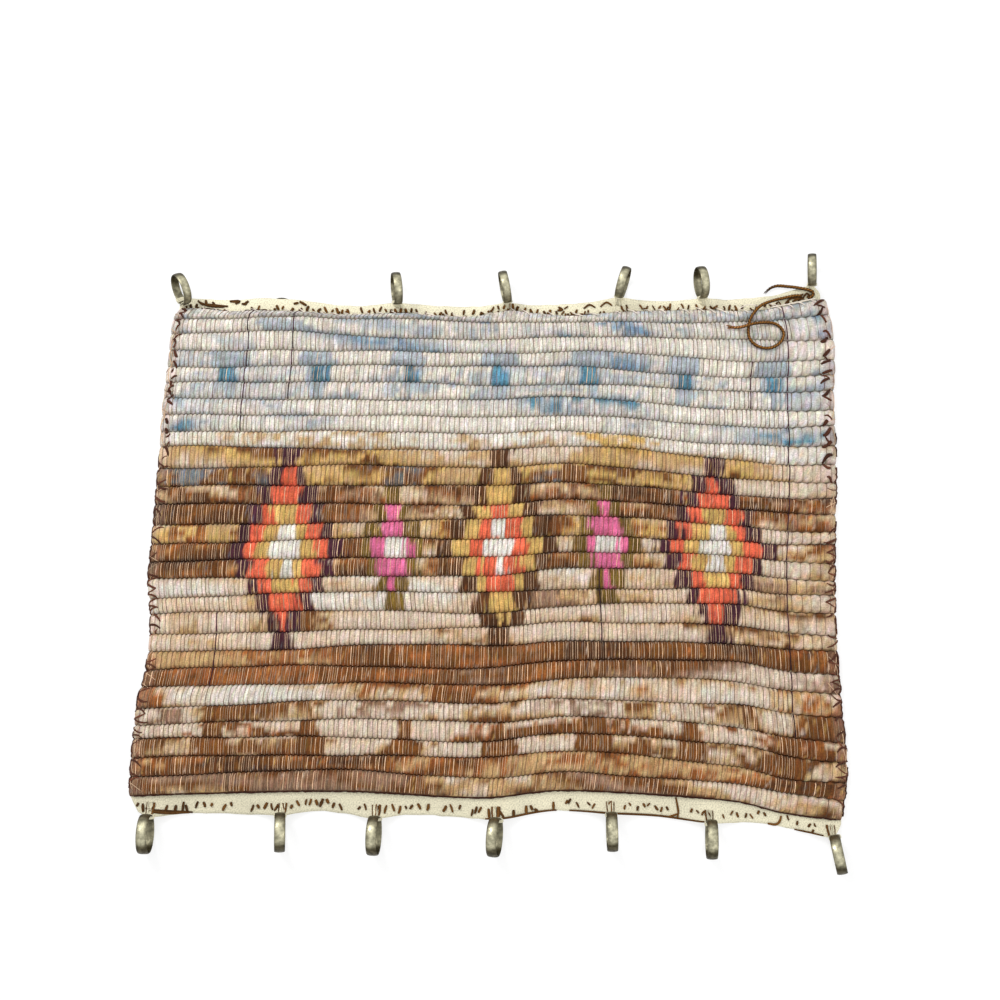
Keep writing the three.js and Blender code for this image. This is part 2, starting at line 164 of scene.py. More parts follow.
def linear(code):
    """A hex colour as it is seen, turned to the linear values that a shader works in."""
    seen = [int(code[i:i + 2], 16) / 255 for i in (0, 2, 4)]
    return tuple(c / 12.92 if c <= 0.04045 else ((c + 0.055) / 1.055) ** 2.4 for c in seen)


def dye_property(name, code, description):
    return FloatVectorProperty(
        name=name, description=description, subtype="COLOR", size=3, min=0.0, max=1.0,
        default=linear(code),
    )


def length_property(name, millimetres, description):
    return FloatProperty(
        name=name, description=description, unit="LENGTH", min=0.0,
        default=millimetres * MM,
    )


# ---- What a user would change ---------------------------------------------------------------

class TapestrySizes(bpy.types.PropertyGroup):
    """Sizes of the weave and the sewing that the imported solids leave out."""

    warps: IntProperty(
        name="Warp threads", description="Binding threads over one rib, from side to side",
        default=141, min=20, max=142,
    )
    wide_gaps: IntProperty(
        name="Wide gaps", description="Gaps at the right side that are twice as wide",
        default=5, min=0, max=20,
    )
    warp_thickness: length_property("Warp thickness", 0.75, "Thickness of a binding thread")
    bead_depth: length_property("Bead depth", 0.38, "How deep a thread pulls into its rib")
    stitch_thickness: length_property("Stitch thickness", 2.4, "Thickness of the brown stitches")
    cotton_thickness: length_property("Cotton thickness", 1.1, "Thickness of the white thread")
    yarn_diameter: length_property("Yarn diameter", 3.6, "Thickness of the loose edging yarn")
    yarn_twist: length_property("Yarn twist", 9.0, "Length of one turn of the yarn's three plies")


class TapestryDyes(bpy.types.PropertyGroup):
    """Colours of the wool, the cotton, the yarn and the metal."""

    cream: dye_property("Cream", "e2dacd", "Undyed wool")
    white: dye_property("White", "e9e3d9", "Bleached wool")
    blush: dye_property("Blush", "d9c5b0", "Undyed wool with a pink cast")
    slate: dye_property("Slate", "6e7378", "Grey-blue wool")
    lavender: dye_property("Lavender", "cfcac4", "Palest blue wool")
    mist: dye_property("Mist blue", "aab2b8", "Blue carded into undyed wool")
    blue: dye_property("Blue", "7590a6", "Blue wool")
    teal: dye_property("Teal", "56869c", "Green-blue wool")
    tan: dye_property("Tan", "c4a070", "Light brown wool")
    pale_tan: dye_property("Pale tan", "d8bea2", "Brown carded into undyed wool")
    ochre: dye_property("Ochre", "d2ab64", "Yellow-brown wool")
    brown: dye_property("Brown", "70431b", "Brown wool")
    dark: dye_property("Dark brown", "502f16", "Darkest brown wool")
    rust: dye_property("Rust", "9a5a2a", "Red-brown wool")
    mauve: dye_property("Mauve", "927059", "Brown wool with a red cast")
    coral: dye_property("Coral", "e26648", "Orange-red wool")
    plum: dye_property("Plum", "44202c", "Darkest red wool")
    olive: dye_property("Olive", "6e5520", "Green-brown wool")
    pink: dye_property("Pink", "e2709a", "Pink wool")
    puff: dye_property("Rib ends", "d8c4b4", "Pale wool that puffs out between edge stitches")
    # The dark warp is the thread's colour with painted shade where it sinks into pale wool; the pale
    # warp is the thread's colour with painted light where it stands out of dark wool, and also the
    # colour of the loose pale threads at the side edges.
    warp_dark: dye_property("Dark warp", "6e523e", "Binding thread against pale wool")
    warp_pale: dye_property("Pale warp", "efcaa6", "Binding thread against dark wool")
    yarn: dye_property("Yarn", "634018", "Brown edging yarn")
    yarn_light: dye_property("Frayed yarn", "9a6638", "Loose fibres at a cut end of the yarn")
    stitch: dye_property("Brown stitches", "4c2a1c", "Brown yarn of the edge and tape stitches")
    cotton: dye_property("Cotton tape", "f4edcf", "Unbleached cotton tape")
    thread: dye_property("Cotton thread", "f0e4d6", "White sewing thread")
    metal: dye_property("Metal", "cbc6a8", "Nickel plate with a warm cast")
    # Painted shade and dark painted reflection of the rings: their outer ends, the band's sides, the
    # bore and the folded ring.
    metal_shade: dye_property("Tarnish", "443c26", "Dull plate where a ring isn't rubbed")


# ---- Shared helpers -------------------------------------------------------------------------

def rgb(colour):
    """A dye's red, green and blue as an array."""
    return np.array(tuple(colour))


def blend(first, second, share):
    """The first value at a share of 0, the second at 1, and a mix of both between them."""
    return first * (1 - share) + second * share


def rib_of(ribs_down):
    """The number of the rib that a count of ribs down falls in."""
    return np.clip(np.floor(ribs_down), 0, RIBS - 1).astype(int)


def coordinates(mesh):
    """The places of a mesh's vertices, one row for each."""
    flat = np.empty(len(mesh.vertices) * 3)
    mesh.vertices.foreach_get("co", flat)
    return flat.reshape(-1, 3)


def hand_over(piece, node=None):
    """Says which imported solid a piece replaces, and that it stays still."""
    if node:
        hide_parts(node)
    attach(piece, "root")


def placed(points):
    """Points in the weave's millimetres, moved to the frame and turned to metres."""
    return (np.asarray(points, float) + SHIFT) * MM


def line_through(stations, at):
    """The smooth line through a table of stations, read at one or many values."""
    xs, ys = np.array(stations, float).T
    at = np.asarray(at, float)
    b = np.clip(np.searchsorted(xs, at, side="left"), 1, len(xs) - 1)
    a = b - 1
    before = np.maximum(b - 2, 0)
    after = np.minimum(b + 1, len(xs) - 1)
    span = xs[b] - xs[a]
    f = (at - xs[a]) / span
    rest = 1 - f
    slope_a = (ys[b] - ys[before]) / (xs[b] - xs[before]) * span
    slope_b = (ys[after] - ys[a]) / (xs[after] - xs[a]) * span
    hold = ys[a] * (1 + 2 * f) * rest ** 2 + ys[b] * f ** 2 * (3 - 2 * f)
    return hold + slope_a * f * rest ** 2 - slope_b * f ** 2 * rest


def smooth(value, low, high):
    """0 below low, 1 above high, with a soft start and end."""
    f = np.clip((value - low) / (high - low), 0, 1)
    return f * f * (3 - 2 * f)


def fade(distance, reach):
    """1 at no distance, softly down to 0 at the reach."""
    return 1 - smooth(np.abs(distance), 0, reach)


def random_field(rng, x, y, size_x, size_y):
    """A smooth random field from 0 to 1 with spots of the given size."""
    side = 61
    grid = rng.random((side, side))
    gx = np.asarray(x, float) / size_x
    gy = np.asarray(y, float) / size_y
    ix, iy = np.floor(gx).astype(int), np.floor(gy).astype(int)
    fx, fy = smooth(gx - ix, 0, 1), smooth(gy - iy, 0, 1)
    ix, iy, jx, jy = ix % side, iy % side, (ix + 1) % side, (iy + 1) % side
    low = blend(grid[iy, ix], grid[iy, jx], fx)
    return blend(low, blend(grid[jy, ix], grid[jy, jx], fx), fy)


# The two rows of rings: way out, start of the names, seats, tape's edge, size.
RING_ROWS = (
    (1, "ring_top_", UPPER_SEATS, UPPER_TAPE, UPPER_RING),
    (-1, "ring_bottom_", LOWER_SEATS, LOWER_TAPE, LOWER_RING),
)


def seats_of(outward, prefix, rows, edge, size):
    """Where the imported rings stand, as the part's source works them out."""
    seats = []
    for number, (x, overlap) in enumerate(rows, 1):
        low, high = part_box(f"{prefix}{number}")
        middle = np.array((low + high) / 2) / MM - SHIFT
        radius = size["outer"] / 2
        seat = {"x": x, "edge_y": float(line_through(edge, x)), "folded": overlap is None}
        if seat["folded"]:
            seat["y"] = seat["edge_y"] - outward * (radius - FOLDED_SHOWING)
            seat["size"] = size
        else:
            seat["contact"] = middle[2] - math.sqrt(radius ** 2 - (radius - overlap) ** 2)
        seats.append(seat)
    return seats


SEATS = {row[0]: seats_of(*row) for row in RING_ROWS}


def lift_at(x, y, outward):
    """How far the rings of one edge hold the tape up over a point."""
    lift = np.zeros(np.broadcast(x, y).shape)
    for seat in SEATS[outward]:
        if seat["folded"]:
            flat_to = seat["size"]["outer"] / 2 + FOLDED_MARGIN
            past = np.maximum(np.hypot(x - seat["x"], y - seat["y"]) - flat_to, 0)
            mound = (seat["size"]["width"] + GAP) * fade(past, FOLDED_REACH - flat_to)
            lift = np.maximum(lift, mound)
        else:
            inward = np.maximum(outward * (seat["edge_y"] - y), 0)
            share = np.maximum(1 - inward / TAPE_RISE, 0) ** 2
            held = max(seat["contact"] - TAPE_THICKNESS, 0)
            lift = np.maximum(lift, held * share * fade(x - seat["x"], TAPE_SPREAD))
    return lift


def ground_at(x, y):
    """How far the cloth is held up over a point by the tapes and the rings."""
    return np.maximum(lift_at(x, y, 1), lift_at(x, y, -1))


def tape_point(x, inward, outward, above=0.0):
    """A point on a tape's upper face, by x and how far in it is from the tape's outer edge."""
    x = np.asarray(x, float)
    edge = UPPER_TAPE if outward > 0 else LOWER_TAPE
    y = line_through(edge, x) - outward * np.asarray(inward, float)
    z = lift_at(x, y, outward) + TAPE_THICKNESS + above
    return np.stack(np.broadcast_arrays(x, y, z), axis=-1)


# Chance numbers of each groove: its offset, where its long and short wave start, its stretch.
LOOSE = np.random.default_rng(SEED + 20).random((RIBS + 1, 4))


def groove_wander(across, k):
    """How far a groove is off its even place: as packed, and a little that is its own."""
    slow = np.sin(2 * np.pi * (1.4 * across + 0.31 * k))
    quick = np.sin(2 * np.pi * (3.1 * across + 0.47 * k + 0.2))
    offset, long_wave, short_wave, stretch = LOOSE[np.asarray(k, int)].T
    own = 1.6 * (offset.T - 0.5)
    own = own + 1.1 * np.sin(2 * np.pi * (across * (0.9 + stretch.T) + long_wave.T))
    own = own + 0.45 * np.sin(2 * np.pi * (across * 6.3 + short_wave.T))
    left, middle, right = [line_through([(row[0], row[i]) for row in RIB_RUN], k) for i in (1, 2, 3)]
    inward = smooth(across, RUN_PLACES[0], RUN_PLACES[1])
    beyond = smooth(across, RUN_PLACES[1], RUN_PLACES[2])
    run = blend(blend(left, middle, inward), right, beyond)
    inside = (k > 0) & (k < RIBS)
    return np.where(inside, run + RIPPLE * (0.65 * slow + 0.35 * quick) + own, 0.0)


def cloth_xy(across, ribs_down):
    """The place on the cloth at a share across and a count of ribs down."""
    k = rib_of(ribs_down)
    at = ribs_down - k
    wander = blend(groove_wander(across, k), groove_wander(across, k + 1), at)
    height = UPPER_EDGE[0][1] - LOWER_EDGE[0][1]
    down = ribs_down / RIBS + wander / height
    upper = line_through(UPPER_EDGE, across)
    lower = line_through(LOWER_EDGE, across)
    left = line_through(LEFT_EDGE, down)
    right = line_through(RIGHT_EDGE, down)
    y = upper + (lower - upper) * down
    y = y - line_through(UPPER_INSET, across) * (1 - smooth(ribs_down, 0, 1))
    return left + (right - left) * across, y, right - left


def rib_rise(ribs_down):
    """0 in a groove, 1 on the crown of a rib, and full over its shoulders."""
    at = np.abs(2 * (ribs_down - np.floor(ribs_down)) - 1)
    return np.clip(1 - at ** 4, 0, 1) ** 0.6


def cloth_point(across, ribs_down, above=0.0):
    """A point on the cloth's face, without its beads."""
    x, y, width = cloth_xy(across, ribs_down)
    inset = np.minimum(across, 1 - across) * width
    edge = np.clip(inset / RIM_WIDTH, 0, 1)
    rise = rib_rise(ribs_down)
    side = np.where(across < 0.5, -1.0, 1.0)
    x = x + side * RIB_BULGE * rise * (1 - edge) ** 2
    share = RIM_SHARE + (1 - RIM_SHARE) * np.sqrt(1 - (1 - edge) ** 2)
    z = ground_at(x, y) + (GROOVE + (CROWN - GROOVE) * rise) * share + above
    return np.stack(np.broadcast_arrays(x, y, z), axis=-1)


def new_object(name, data):
    """An object with its data, put in the scene."""
    made = bpy.data.objects.new(name, data)
    bpy.context.scene.collection.objects.link(made)
    return made


def new_mesh(name, bm):
    """A mesh from a worked-out form, which is let go."""
    mesh = bpy.data.meshes.new(name)
    bm.to_mesh(mesh)
    bm.free()
    return mesh


def new_mesh_object(name, mesh, material):
    """A smooth piece of one material."""
    piece = new_object(name, mesh)
    mesh.materials.append(material)
    mesh.shade_smooth()
    return piece


def strands(name, paths, thickness, material, resolution, radii):
    """One mesh of round strands along the given paths, in the weave's millimetres."""
    curve = bpy.data.curves.new(name, "CURVE")
    curve.dimensions = "3D"
    curve.bevel_depth = thickness / 2
    curve.bevel_resolution = resolution
    for path, radius in zip(paths, radii):
        line = placed(path)
        line[:, 2] = np.maximum(line[:, 2], radius * thickness / 2)
        spline = curve.splines.new("POLY")
        spline.points.add(len(path) - 1)
        spline.points.foreach_set("co", np.c_[line, np.ones(len(path))].ravel())
        spline.points.foreach_set("radius", np.asarray(radius, np.float32))
    source = new_object(name + "_line", curve)
    depsgraph = bpy.context.evaluated_depsgraph_get()
    mesh = bpy.data.meshes.new_from_object(source.evaluated_get(depsgraph))
    bpy.data.objects.remove(source)
    bpy.data.curves.remove(curve)
    mesh.name = name
    mesh.materials.clear()
    bm = bmesh.new()
    bm.from_mesh(mesh)
    bmesh.ops.holes_fill(bm, edges=[edge for edge in bm.edges if edge.is_boundary], sides=0)
    bmesh.ops.recalc_face_normals(bm, faces=bm.faces)
    bm.to_mesh(mesh)
    bm.free()
    return new_mesh_object(name, mesh, material)


class Threads:
    """Strands gathered for one piece: their paths, thicknesses, and tones or colours."""

    def __init__(self, paths=(), radii=(), tones=()):
        self.paths, self.radii, self.tones = list(paths), list(radii), list(tones)

    def add(self, path, radius=1.0, tone=1.0):
        self.paths.append(path)
        self.radii.append(np.ones(len(path)) * radius)
        self.tones.append(tone)


def sides_of(piece, paths):
    """How many vertices stand round each point of a piece made by strands."""
    points = sum(len(path) for path in paths)
    sides, rest = divmod(len(piece.data.vertices), points)
    if rest:
        raise RuntimeError(f"{piece.name} doesn't have the same count of sides at each point")
    return sides


def set_colours(mesh, colours, hatch=0.5):
    """Gives each vertex its own colour, its dye with any painted shade or highlight, and in the fourth
    place how strongly its fibres vary.
    """
    layer = mesh.color_attributes.new("dye", "FLOAT_COLOR", "POINT")
    full = np.empty((len(mesh.vertices), 4), np.float32)
    full[:, :3] = colours
    full[:, 3] = hatch
    layer.data.foreach_set("color", full.ravel())


# ---- Materials ------------------------------------------------------------------------------

def add_node(tree, kind, inputs=None, **settings):
    """Adds a node, changes its settings, and fills or links its inputs."""
    made = tree.nodes.new(kind)
    for name, value in settings.items():
        setattr(made, name, value)
    for key, value in (inputs or {}).items():
        if isinstance(value, bpy.types.NodeSocket):
            tree.links.new(value, made.inputs[key])
        else:
            made.inputs[key].default_value = value
    return made


def new_material(name):
    """A material with an empty node tree."""
    material = bpy.data.materials.new(name)
    material.use_nodes = True
    material.node_tree.nodes.clear()
    return material, material.node_tree


def finish_material(tree, shader):
    add_node(tree, "ShaderNodeOutputMaterial", {"Surface": shader.outputs[0]})


def dyed_surface(tree, tone, height, bump, depth, **inputs):
    """Each vertex's colour, its dye with any painted shade, times a tone, with a fine relief of the
    given strength and depth.
    """
    dyed = add_node(tree, "ShaderNodeAttribute", attribute_name="dye")
    colour = add_node(tree, "ShaderNodeVectorMath", {
        0: dyed.outputs["Color"], "Scale": tone,
    }, operation="SCALE")
    relief = add_node(tree, "ShaderNodeBump", {
        "Height": height, "Strength": bump, "Distance": depth * MM,
    })
    shader = add_node(tree, "ShaderNodeBsdfPrincipled", {
        "Base Color": colour.outputs[0], "Normal": relief.outputs[0],
        **{name.replace("_", " "): value for name, value in inputs.items()},
    })
    finish_material(tree, shader)


def seen_directly(tree):
    """1 for what the camera or a gloss sees, 0 for what only lights the rest."""
    path = add_node(tree, "ShaderNodeLightPath")
    return add_node(tree, "ShaderNodeMath", {
        0: path.outputs["Is Camera Ray"], 1: path.outputs["Is Glossy Ray"],
    }, operation="MAXIMUM").outputs[0]


def fibrous_material(name, fibre, tone, bump, sheen, depth, hatch=None):
    """Soft matt fibres: streaks along the fibre, a slower drift of tone, a fine nap.

    fibre is the size of one streak in millimetres along x, y and z. hatch is the size of the
    streaks that run the other way, as strong as the dye attribute's fourth value says."""
    material, tree = new_material(name)
    coords = add_node(tree, "ShaderNodeTexCoord")

    def streaks(size, detail=4.0):
        along = add_node(tree, "ShaderNodeMapping", {
            "Vector": coords.outputs["Object"], "Scale": [1 / (s * MM) for s in size],
        })
        return add_node(tree, "ShaderNodeTexNoise", {
            "Vector": along.outputs[0], "Scale": 1.0, "Detail": detail, "Roughness": 0.65,
        }).outputs["Fac"]

    def toned(value, low, high):
        return add_node(tree, "ShaderNodeMapRange", {
            "Value": value, "From Min": 0.3, "From Max": 0.7, "To Min": low, "To Max": high,
        }).outputs[0]

    along = streaks(fibre)
    tones = [toned(along, *tone), toned(streaks((9, 9, 9), 3.0), 0.9, 1.09)]
    if hatch:
        dyed = add_node(tree, "ShaderNodeAttribute", attribute_name="dye")
        tones.append(toned(streaks((1.1, 1.0, 1.1), 2.0), 0.74, 1.2))
        swing = toned(streaks(hatch, 2.0), -0.42, 0.42)
        share = add_node(tree, "ShaderNodeMath", {
            0: swing, 1: dyed.outputs["Alpha"], 2: 1.0,
        }, operation="MULTIPLY_ADD")
        tones.append(share.outputs[0])
    total = tones[0]
    for value in tones[1:]:
        total = add_node(tree, "ShaderNodeMath", {
            0: total, 1: value,
        }, operation="MULTIPLY").outputs[0]
    dyed_surface(tree, total, along, bump, depth, Roughness=0.95, Specular_IOR_Level=0.15,
                 Sheen_Weight=sheen, Sheen_Roughness=0.6)
    return material


def wool_material():
    """Hand-dyed unspun wool: matt fibres along the rib, hatched where threads pinch them."""
    return fibrous_material(
        "unspun_wool", fibre=(2.6, 0.9, 2.0), tone=(0.74, 1.17),
        bump=0.7, sheen=0.08, depth=0.7, hatch=(0.75, 9.0, 9.0),
    )


def warp_material():
    """Thin spun wool thread: dull, with the twist too fine to show as more than a tone."""
    return fibrous_material(
        "spun_wool_warp", fibre=(0.8, 1.6, 1.0), tone=(0.8, 1.15),
        bump=0.2, sheen=0.05, depth=0.1,
    )


def yarn_material():
    """Brown three-ply rug yarn: hairy, matt, with lighter fibres along each ply."""
    return fibrous_material(
        "brown_rug_yarn", fibre=(1.0, 1.0, 1.0), tone=(0.6, 1.4),
        bump=0.7, sheen=0.05, depth=0.5,
    )


def thread_material():
    """White cotton sewing thread: pale, with a dull gloss."""
    return fibrous_material(
        "cotton_thread", fibre=(1.0, 1.0, 1.0), tone=(0.84, 1.06),
        bump=0.3, sheen=0.05, depth=0.2,
    )


def tape_material():
    """Cotton tape: cream and flat, its weave a fine speckle, its cords 2.4 mm apart faint."""
    material, tree = new_material("cotton_twill_tape")
    coords = add_node(tree, "ShaderNodeTexCoord")
    slant = add_node(tree, "ShaderNodeMapping", {
        "Vector": coords.outputs["UV"], "Rotation": (0, 0, math.radians(35)),
    })
    cords = add_node(tree, "ShaderNodeTexWave", {
        "Vector": slant.outputs[0], "Scale": math.tau / 20 / 2.4,
        "Distortion": 2.5, "Detail": 2.0,
    }, wave_type="BANDS", bands_direction="X")
    weave = add_node(tree, "ShaderNodeTexNoise", {
        "Vector": coords.outputs["UV"], "Scale": 0.7, "Detail": 3.0, "Roughness": 0.7,
    })
    cord_tone = add_node(tree, "ShaderNodeMapRange", {
        "Value": cords.outputs["Fac"], "To Min": 0.96, "To Max": 1.02,
    })
    weave_tone = add_node(tree, "ShaderNodeMapRange", {
        "Value": weave.outputs["Fac"], "From Min": 0.34, "From Max": 0.56,
        "To Min": 0.68, "To Max": 1.06,
    })
    both = add_node(tree, "ShaderNodeMath", {
        0: cord_tone.outputs[0], 1: weave_tone.outputs[0],
    }, operation="MULTIPLY")
    dyed_surface(tree, both.outputs[0], weave.outputs["Fac"], 0.5, 0.4, Roughness=0.9,
                 Specular_IOR_Level=0.2, Sheen_Weight=0.1, Sheen_Roughness=0.5)
    return material


def metal_material():
    """Nickel-plated steel, tumbled: a satin gloss, warm, and darker in random tarnished patches."""
    material, tree = new_material("nickel_plated_steel")
    coords = add_node(tree, "ShaderNodeTexCoord")
    patches = add_node(tree, "ShaderNodeTexNoise", {
        "Vector": coords.outputs["Object"], "Scale": 1 / (3.5 * MM), "Detail": 4.0,
    })
    scratches = add_node(tree, "ShaderNodeTexNoise", {
        "Vector": coords.outputs["Object"], "Scale": 1 / (0.9 * MM), "Detail": 2.0,
    })
    tone = add_node(tree, "ShaderNodeMapRange", {
        "Value": patches.outputs["Fac"], "From Min": 0.35, "From Max": 0.7,
        "To Min": 0.55, "To Max": 1.15,
    })
    roughness = add_node(tree, "ShaderNodeMapRange", {
        "Value": patches.outputs["Fac"], "From Min": 0.3, "From Max": 0.7,
        "To Min": 0.58, "To Max": 0.34,
    })
    dyed_surface(tree, tone.outputs[0], scratches.outputs["Fac"], 0.12, 0.1,
                 Metallic=1.0, Roughness=roughness.outputs[0])
    return material


def floor_material():
    """Matt white board, lifted to white for the camera so that only the shadow shows."""
    material, tree = new_material("white_board")
    share = add_node(tree, "ShaderNodeMath", {0: seen_directly(tree), 1: 0.6}, operation="MULTIPLY")
    board = add_node(tree, "ShaderNodeBsdfDiffuse", {"Color": (0.86, 0.86, 0.86, 1)})
    glow = add_node(tree, "ShaderNodeEmission", {"Color": (1, 1, 1, 1), "Strength": 1.15})
    mixed = add_node(tree, "ShaderNodeMixShader", {
        0: share.outputs[0], 1: board.outputs[0], 2: glow.outputs[0],
    })
    finish_material(tree, mixed)
    return material


# ---- The woven design -----------------------------------------------------------------------
# A plain banded ground with stepped diamonds: a common design of rug weavers, in no one's name.

# Ribs of the ground: first rib, last rib, and the share that each dye has of them.
GROUND = (
    (0, 0, (("lavender", 3), ("mist", 1), ("cream", 4), ("mist", 1))),
    (1, 1, (("mist", 2), ("cream", 4), ("lavender", 3), ("blue", 0.3))),
    (2, 3, (("cream", 6), ("lavender", 2), ("mist", 1.5), ("blue", 0.2))),
    (4, 5, (("lavender", 2), ("mist", 1.5), ("cream", 5), ("mist", 0.7))),
    (6, 7, (("cream", 5), ("lavender", 3), ("mist", 1), ("teal", 0.2))),
    (8, 8, (("white", 1), ("tan", 1.5), ("cream", 4), ("ochre", 0.5))),
    (9, 9, (("brown", 1), ("ochre", 1.6), ("tan", 3), ("blush", 2))),
    (10, 10, (("slate", 0.5), ("brown", 3), ("ochre", 1.4), ("tan", 2), ("blush", 1.2))),
    (11, 12, (("dark", 3), ("brown", 4), ("rust", 1), ("mauve", 2), ("tan", 2.5), ("pale_tan", 1))),
    (13, 13, (("brown", 2.5), ("rust", 0.7), ("ochre", 1), ("tan", 2), ("pale_tan", 2), ("blush", 1))),
    (14, 15, (("dark", 1.5), ("brown", 3.5), ("rust", 0.6), ("tan", 2.5), ("blush", 3))),
    (16, 17, (("cream", 2), ("blush", 2), ("pale_tan", 4), ("tan", 2), ("mauve", 0.7))),
    (18, 19, (("blush", 4), ("pale_tan", 4), ("tan", 1), ("brown", 0.5))),
    (20, 20, (("dark", 1), ("brown", 4), ("rust", 2), ("tan", 1))),
    (21, 21, (("rust", 2), ("brown", 4), ("mauve", 1), ("blush", 1))),
    (22, 22, (
        ("cream", 1.5), ("blush", 2.5), ("pale_tan", 2), ("tan", 1.5), ("rust", 1.2), ("brown", 1),
    )),
    (23, 23, (("brown", 3), ("tan", 1), ("blush", 4), ("mauve", 1))),
    (24, 24, (("blush", 4), ("pale_tan", 2), ("rust", 0.8), ("brown", 3))),
    (25, 25, (("brown", 3), ("tan", 1), ("pale_tan", 1), ("blush", 2))),
    (26, 26, (("dark", 1), ("brown", 3), ("rust", 2), ("tan", 2))),
    (27, 27, (("mauve", 2), ("brown", 3), ("tan", 2), ("blush", 1))),
)

# Stepped diamonds: middle x and rib, half width, half height in ribs, and the dyes inwards.
DIAMONDS = (
    (-212, 14, 58, 5.5, ("plum", "coral", "ochre", "white")),
    (0, 14, 58, 5.5, ("dark", "ochre", "coral", "white")),
    (212, 14, 58, 5.5, ("plum", "coral", "ochre", "white")),
    (-106, 14, 34, 3.5, ("olive", "pink", "white")),
    (106, 14, 34, 3.5, ("olive", "pink", "white")),
)

# Rows of small steps: first rib, count of ribs, way they point, spacing, half width, dye.
BORDERS = (
    (3, 3, 1, 92, 17, "mist"),
    (4, 1, 1, 92, 7, "teal"),
    (24, 2, -1, 92, 15, "brown"),
)

DARK_LEFT = 0.13            # how far the dark dyes of the brown bands keep to the left
DESIGN_SPAN = (-372, 352)   # the design is laid out from this x to that one
LAYERS = 12                 # rows of its points down one rib


def dye_ground(rng, dyes, x, ribs_down):
    """Wool of several dyes laid along each rib, with feathered joins."""
    rib = rib_of(ribs_down)
    at = ribs_down - rib
    slant = (at - 0.5) * (rng.random(RIBS)[rib] - 0.5) * 160
    long_spots = random_field(rng, x + slant, rib * 400.0, 120, 60)
    short_spots = random_field(rng, x + slant * 0.6, at * 12 + rib * 400, 45, 12)
    flecks = random_field(rng, x, at * 17 + rib * 400, 7, 4)
    field = long_spots * 0.46 + short_spots * 0.36 + flecks * 0.18
    field += np.where((rib > 8) & (rib < 16), DARK_LEFT * x / 340, 0.0)
    colour = np.zeros((len(x), 3))
    for first, last, shares in GROUND:
        for k in range(first, last + 1):
            mine = np.flatnonzero(rib == k)
            rank = np.empty(len(mine))
            rank[np.argsort(field[mine], kind="stable")] = np.linspace(0, 1, len(mine))
            total = sum(share for _, share in shares)
            stops, values, used = [], [], 0.0
            for name, share in shares:
                low, high = used / total, (used + share) / total
                soft = min(0.09, (high - low) / 2.3)
                stops += [low + soft, high - soft]
                values += [tuple(getattr(dyes, name))] * 2
                used += share
            values = np.array(values)
            for channel in range(3):
                colour[mine, channel] = np.interp(rank, stops, values[:, channel])
    return colour


def dye_design(rng, dyes, x, ribs_down):
    """The banded ground, with the stepped diamonds and the two rows of steps laid over it."""
    colour = dye_ground(rng, dyes, x, ribs_down)
    rib = rib_of(ribs_down)
    at = ribs_down - rib - 0.5
    slope = at * (rng.random(RIBS)[rib] * 12 - 6)
    ragged = (random_field(rng, x + at * 9, rib * 40.0 + at * 9, 6, 6) - 0.5) * 6 + slope

    def lay(inside, name):
        share = smooth(inside, -0.8, 0.8)[:, None]
        tint = 1 + (random_field(rng, x, ribs_down * 17, 17, 5)[:, None] - 0.5) * 0.5
        colour[:] = blend(colour, rgb(getattr(dyes, name)) * tint, share)

    for middle, middle_rib, half, reach, names in DIAMONDS:
        for level, name in enumerate(names):
            steps = reach - level * 1.35
            away = np.abs(rib - middle_rib)
            width = (half - level * half / len(names)) * (1 - away / (steps + 0.5))
            inside = np.where(away <= steps, width + ragged - np.abs(x - middle), -9.0)
            lay(inside, name)
    for first, count, way, spacing, half, name in BORDERS:
        step = rib - first if way > 0 else first + count - 1 - rib
        near = np.abs((x + spacing / 2) % spacing - spacing / 2)
        width = half * (1 - step / count)
        inside = np.where((step >= 0) & (step < count), width + ragged - near, -9.0)
        lay(inside, name)
    return colour


class Design:
    """The dyes of the whole cloth, laid out once, so that face, back and threads agree."""

    def __init__(self, dyes):
        x = np.arange(*DESIGN_SPAN, dtype=float)
        at = (np.arange(LAYERS) + 0.5) / LAYERS
        ribs_down = (np.arange(RIBS)[:, None] + at).ravel()
        grid_x, grid_ribs = np.meshgrid(x, ribs_down)
        rng = np.random.default_rng(SEED + 2)
        colour = dye_design(rng, dyes, grid_x.ravel(), grid_ribs.ravel())
        self.map = colour.reshape(RIBS, LAYERS, len(x), 3)

    def at(self, x, ribs_down):
        """The dye at one or many points of the cloth."""
        rib = rib_of(ribs_down)
        layer = np.clip((ribs_down - rib) * LAYERS - 0.5, 0, LAYERS - 1.001)
        column = np.clip(x - DESIGN_SPAN[0], 0, self.map.shape[2] - 1.001)
        i, j = layer.astype(int), column.astype(int)
        f, g = (layer - i)[:, None], (column - j)[:, None]
        upper = blend(self.map[rib, i, j], self.map[rib, i, j + 1], g)
        return blend(upper, blend(self.map[rib, i + 1, j], self.map[rib, i + 1, j + 1], g), f)


def lightness(colour):
    """How light a colour looks, from 0 to 1."""
    return colour @ np.array((0.25, 0.6, 0.15))


def warp_across(sizes, number):
    """The share across the cloth at which a binding thread lies."""
    wide = sizes.wide_gaps
    narrow = sizes.warps - wide
    width = narrow + 2 * wide
    number = np.asarray(number, float)
    return np.where(number < narrow, number, 2 * number - narrow) / width


CROWN_SPOTS = 24        # places along a rib where its height is set


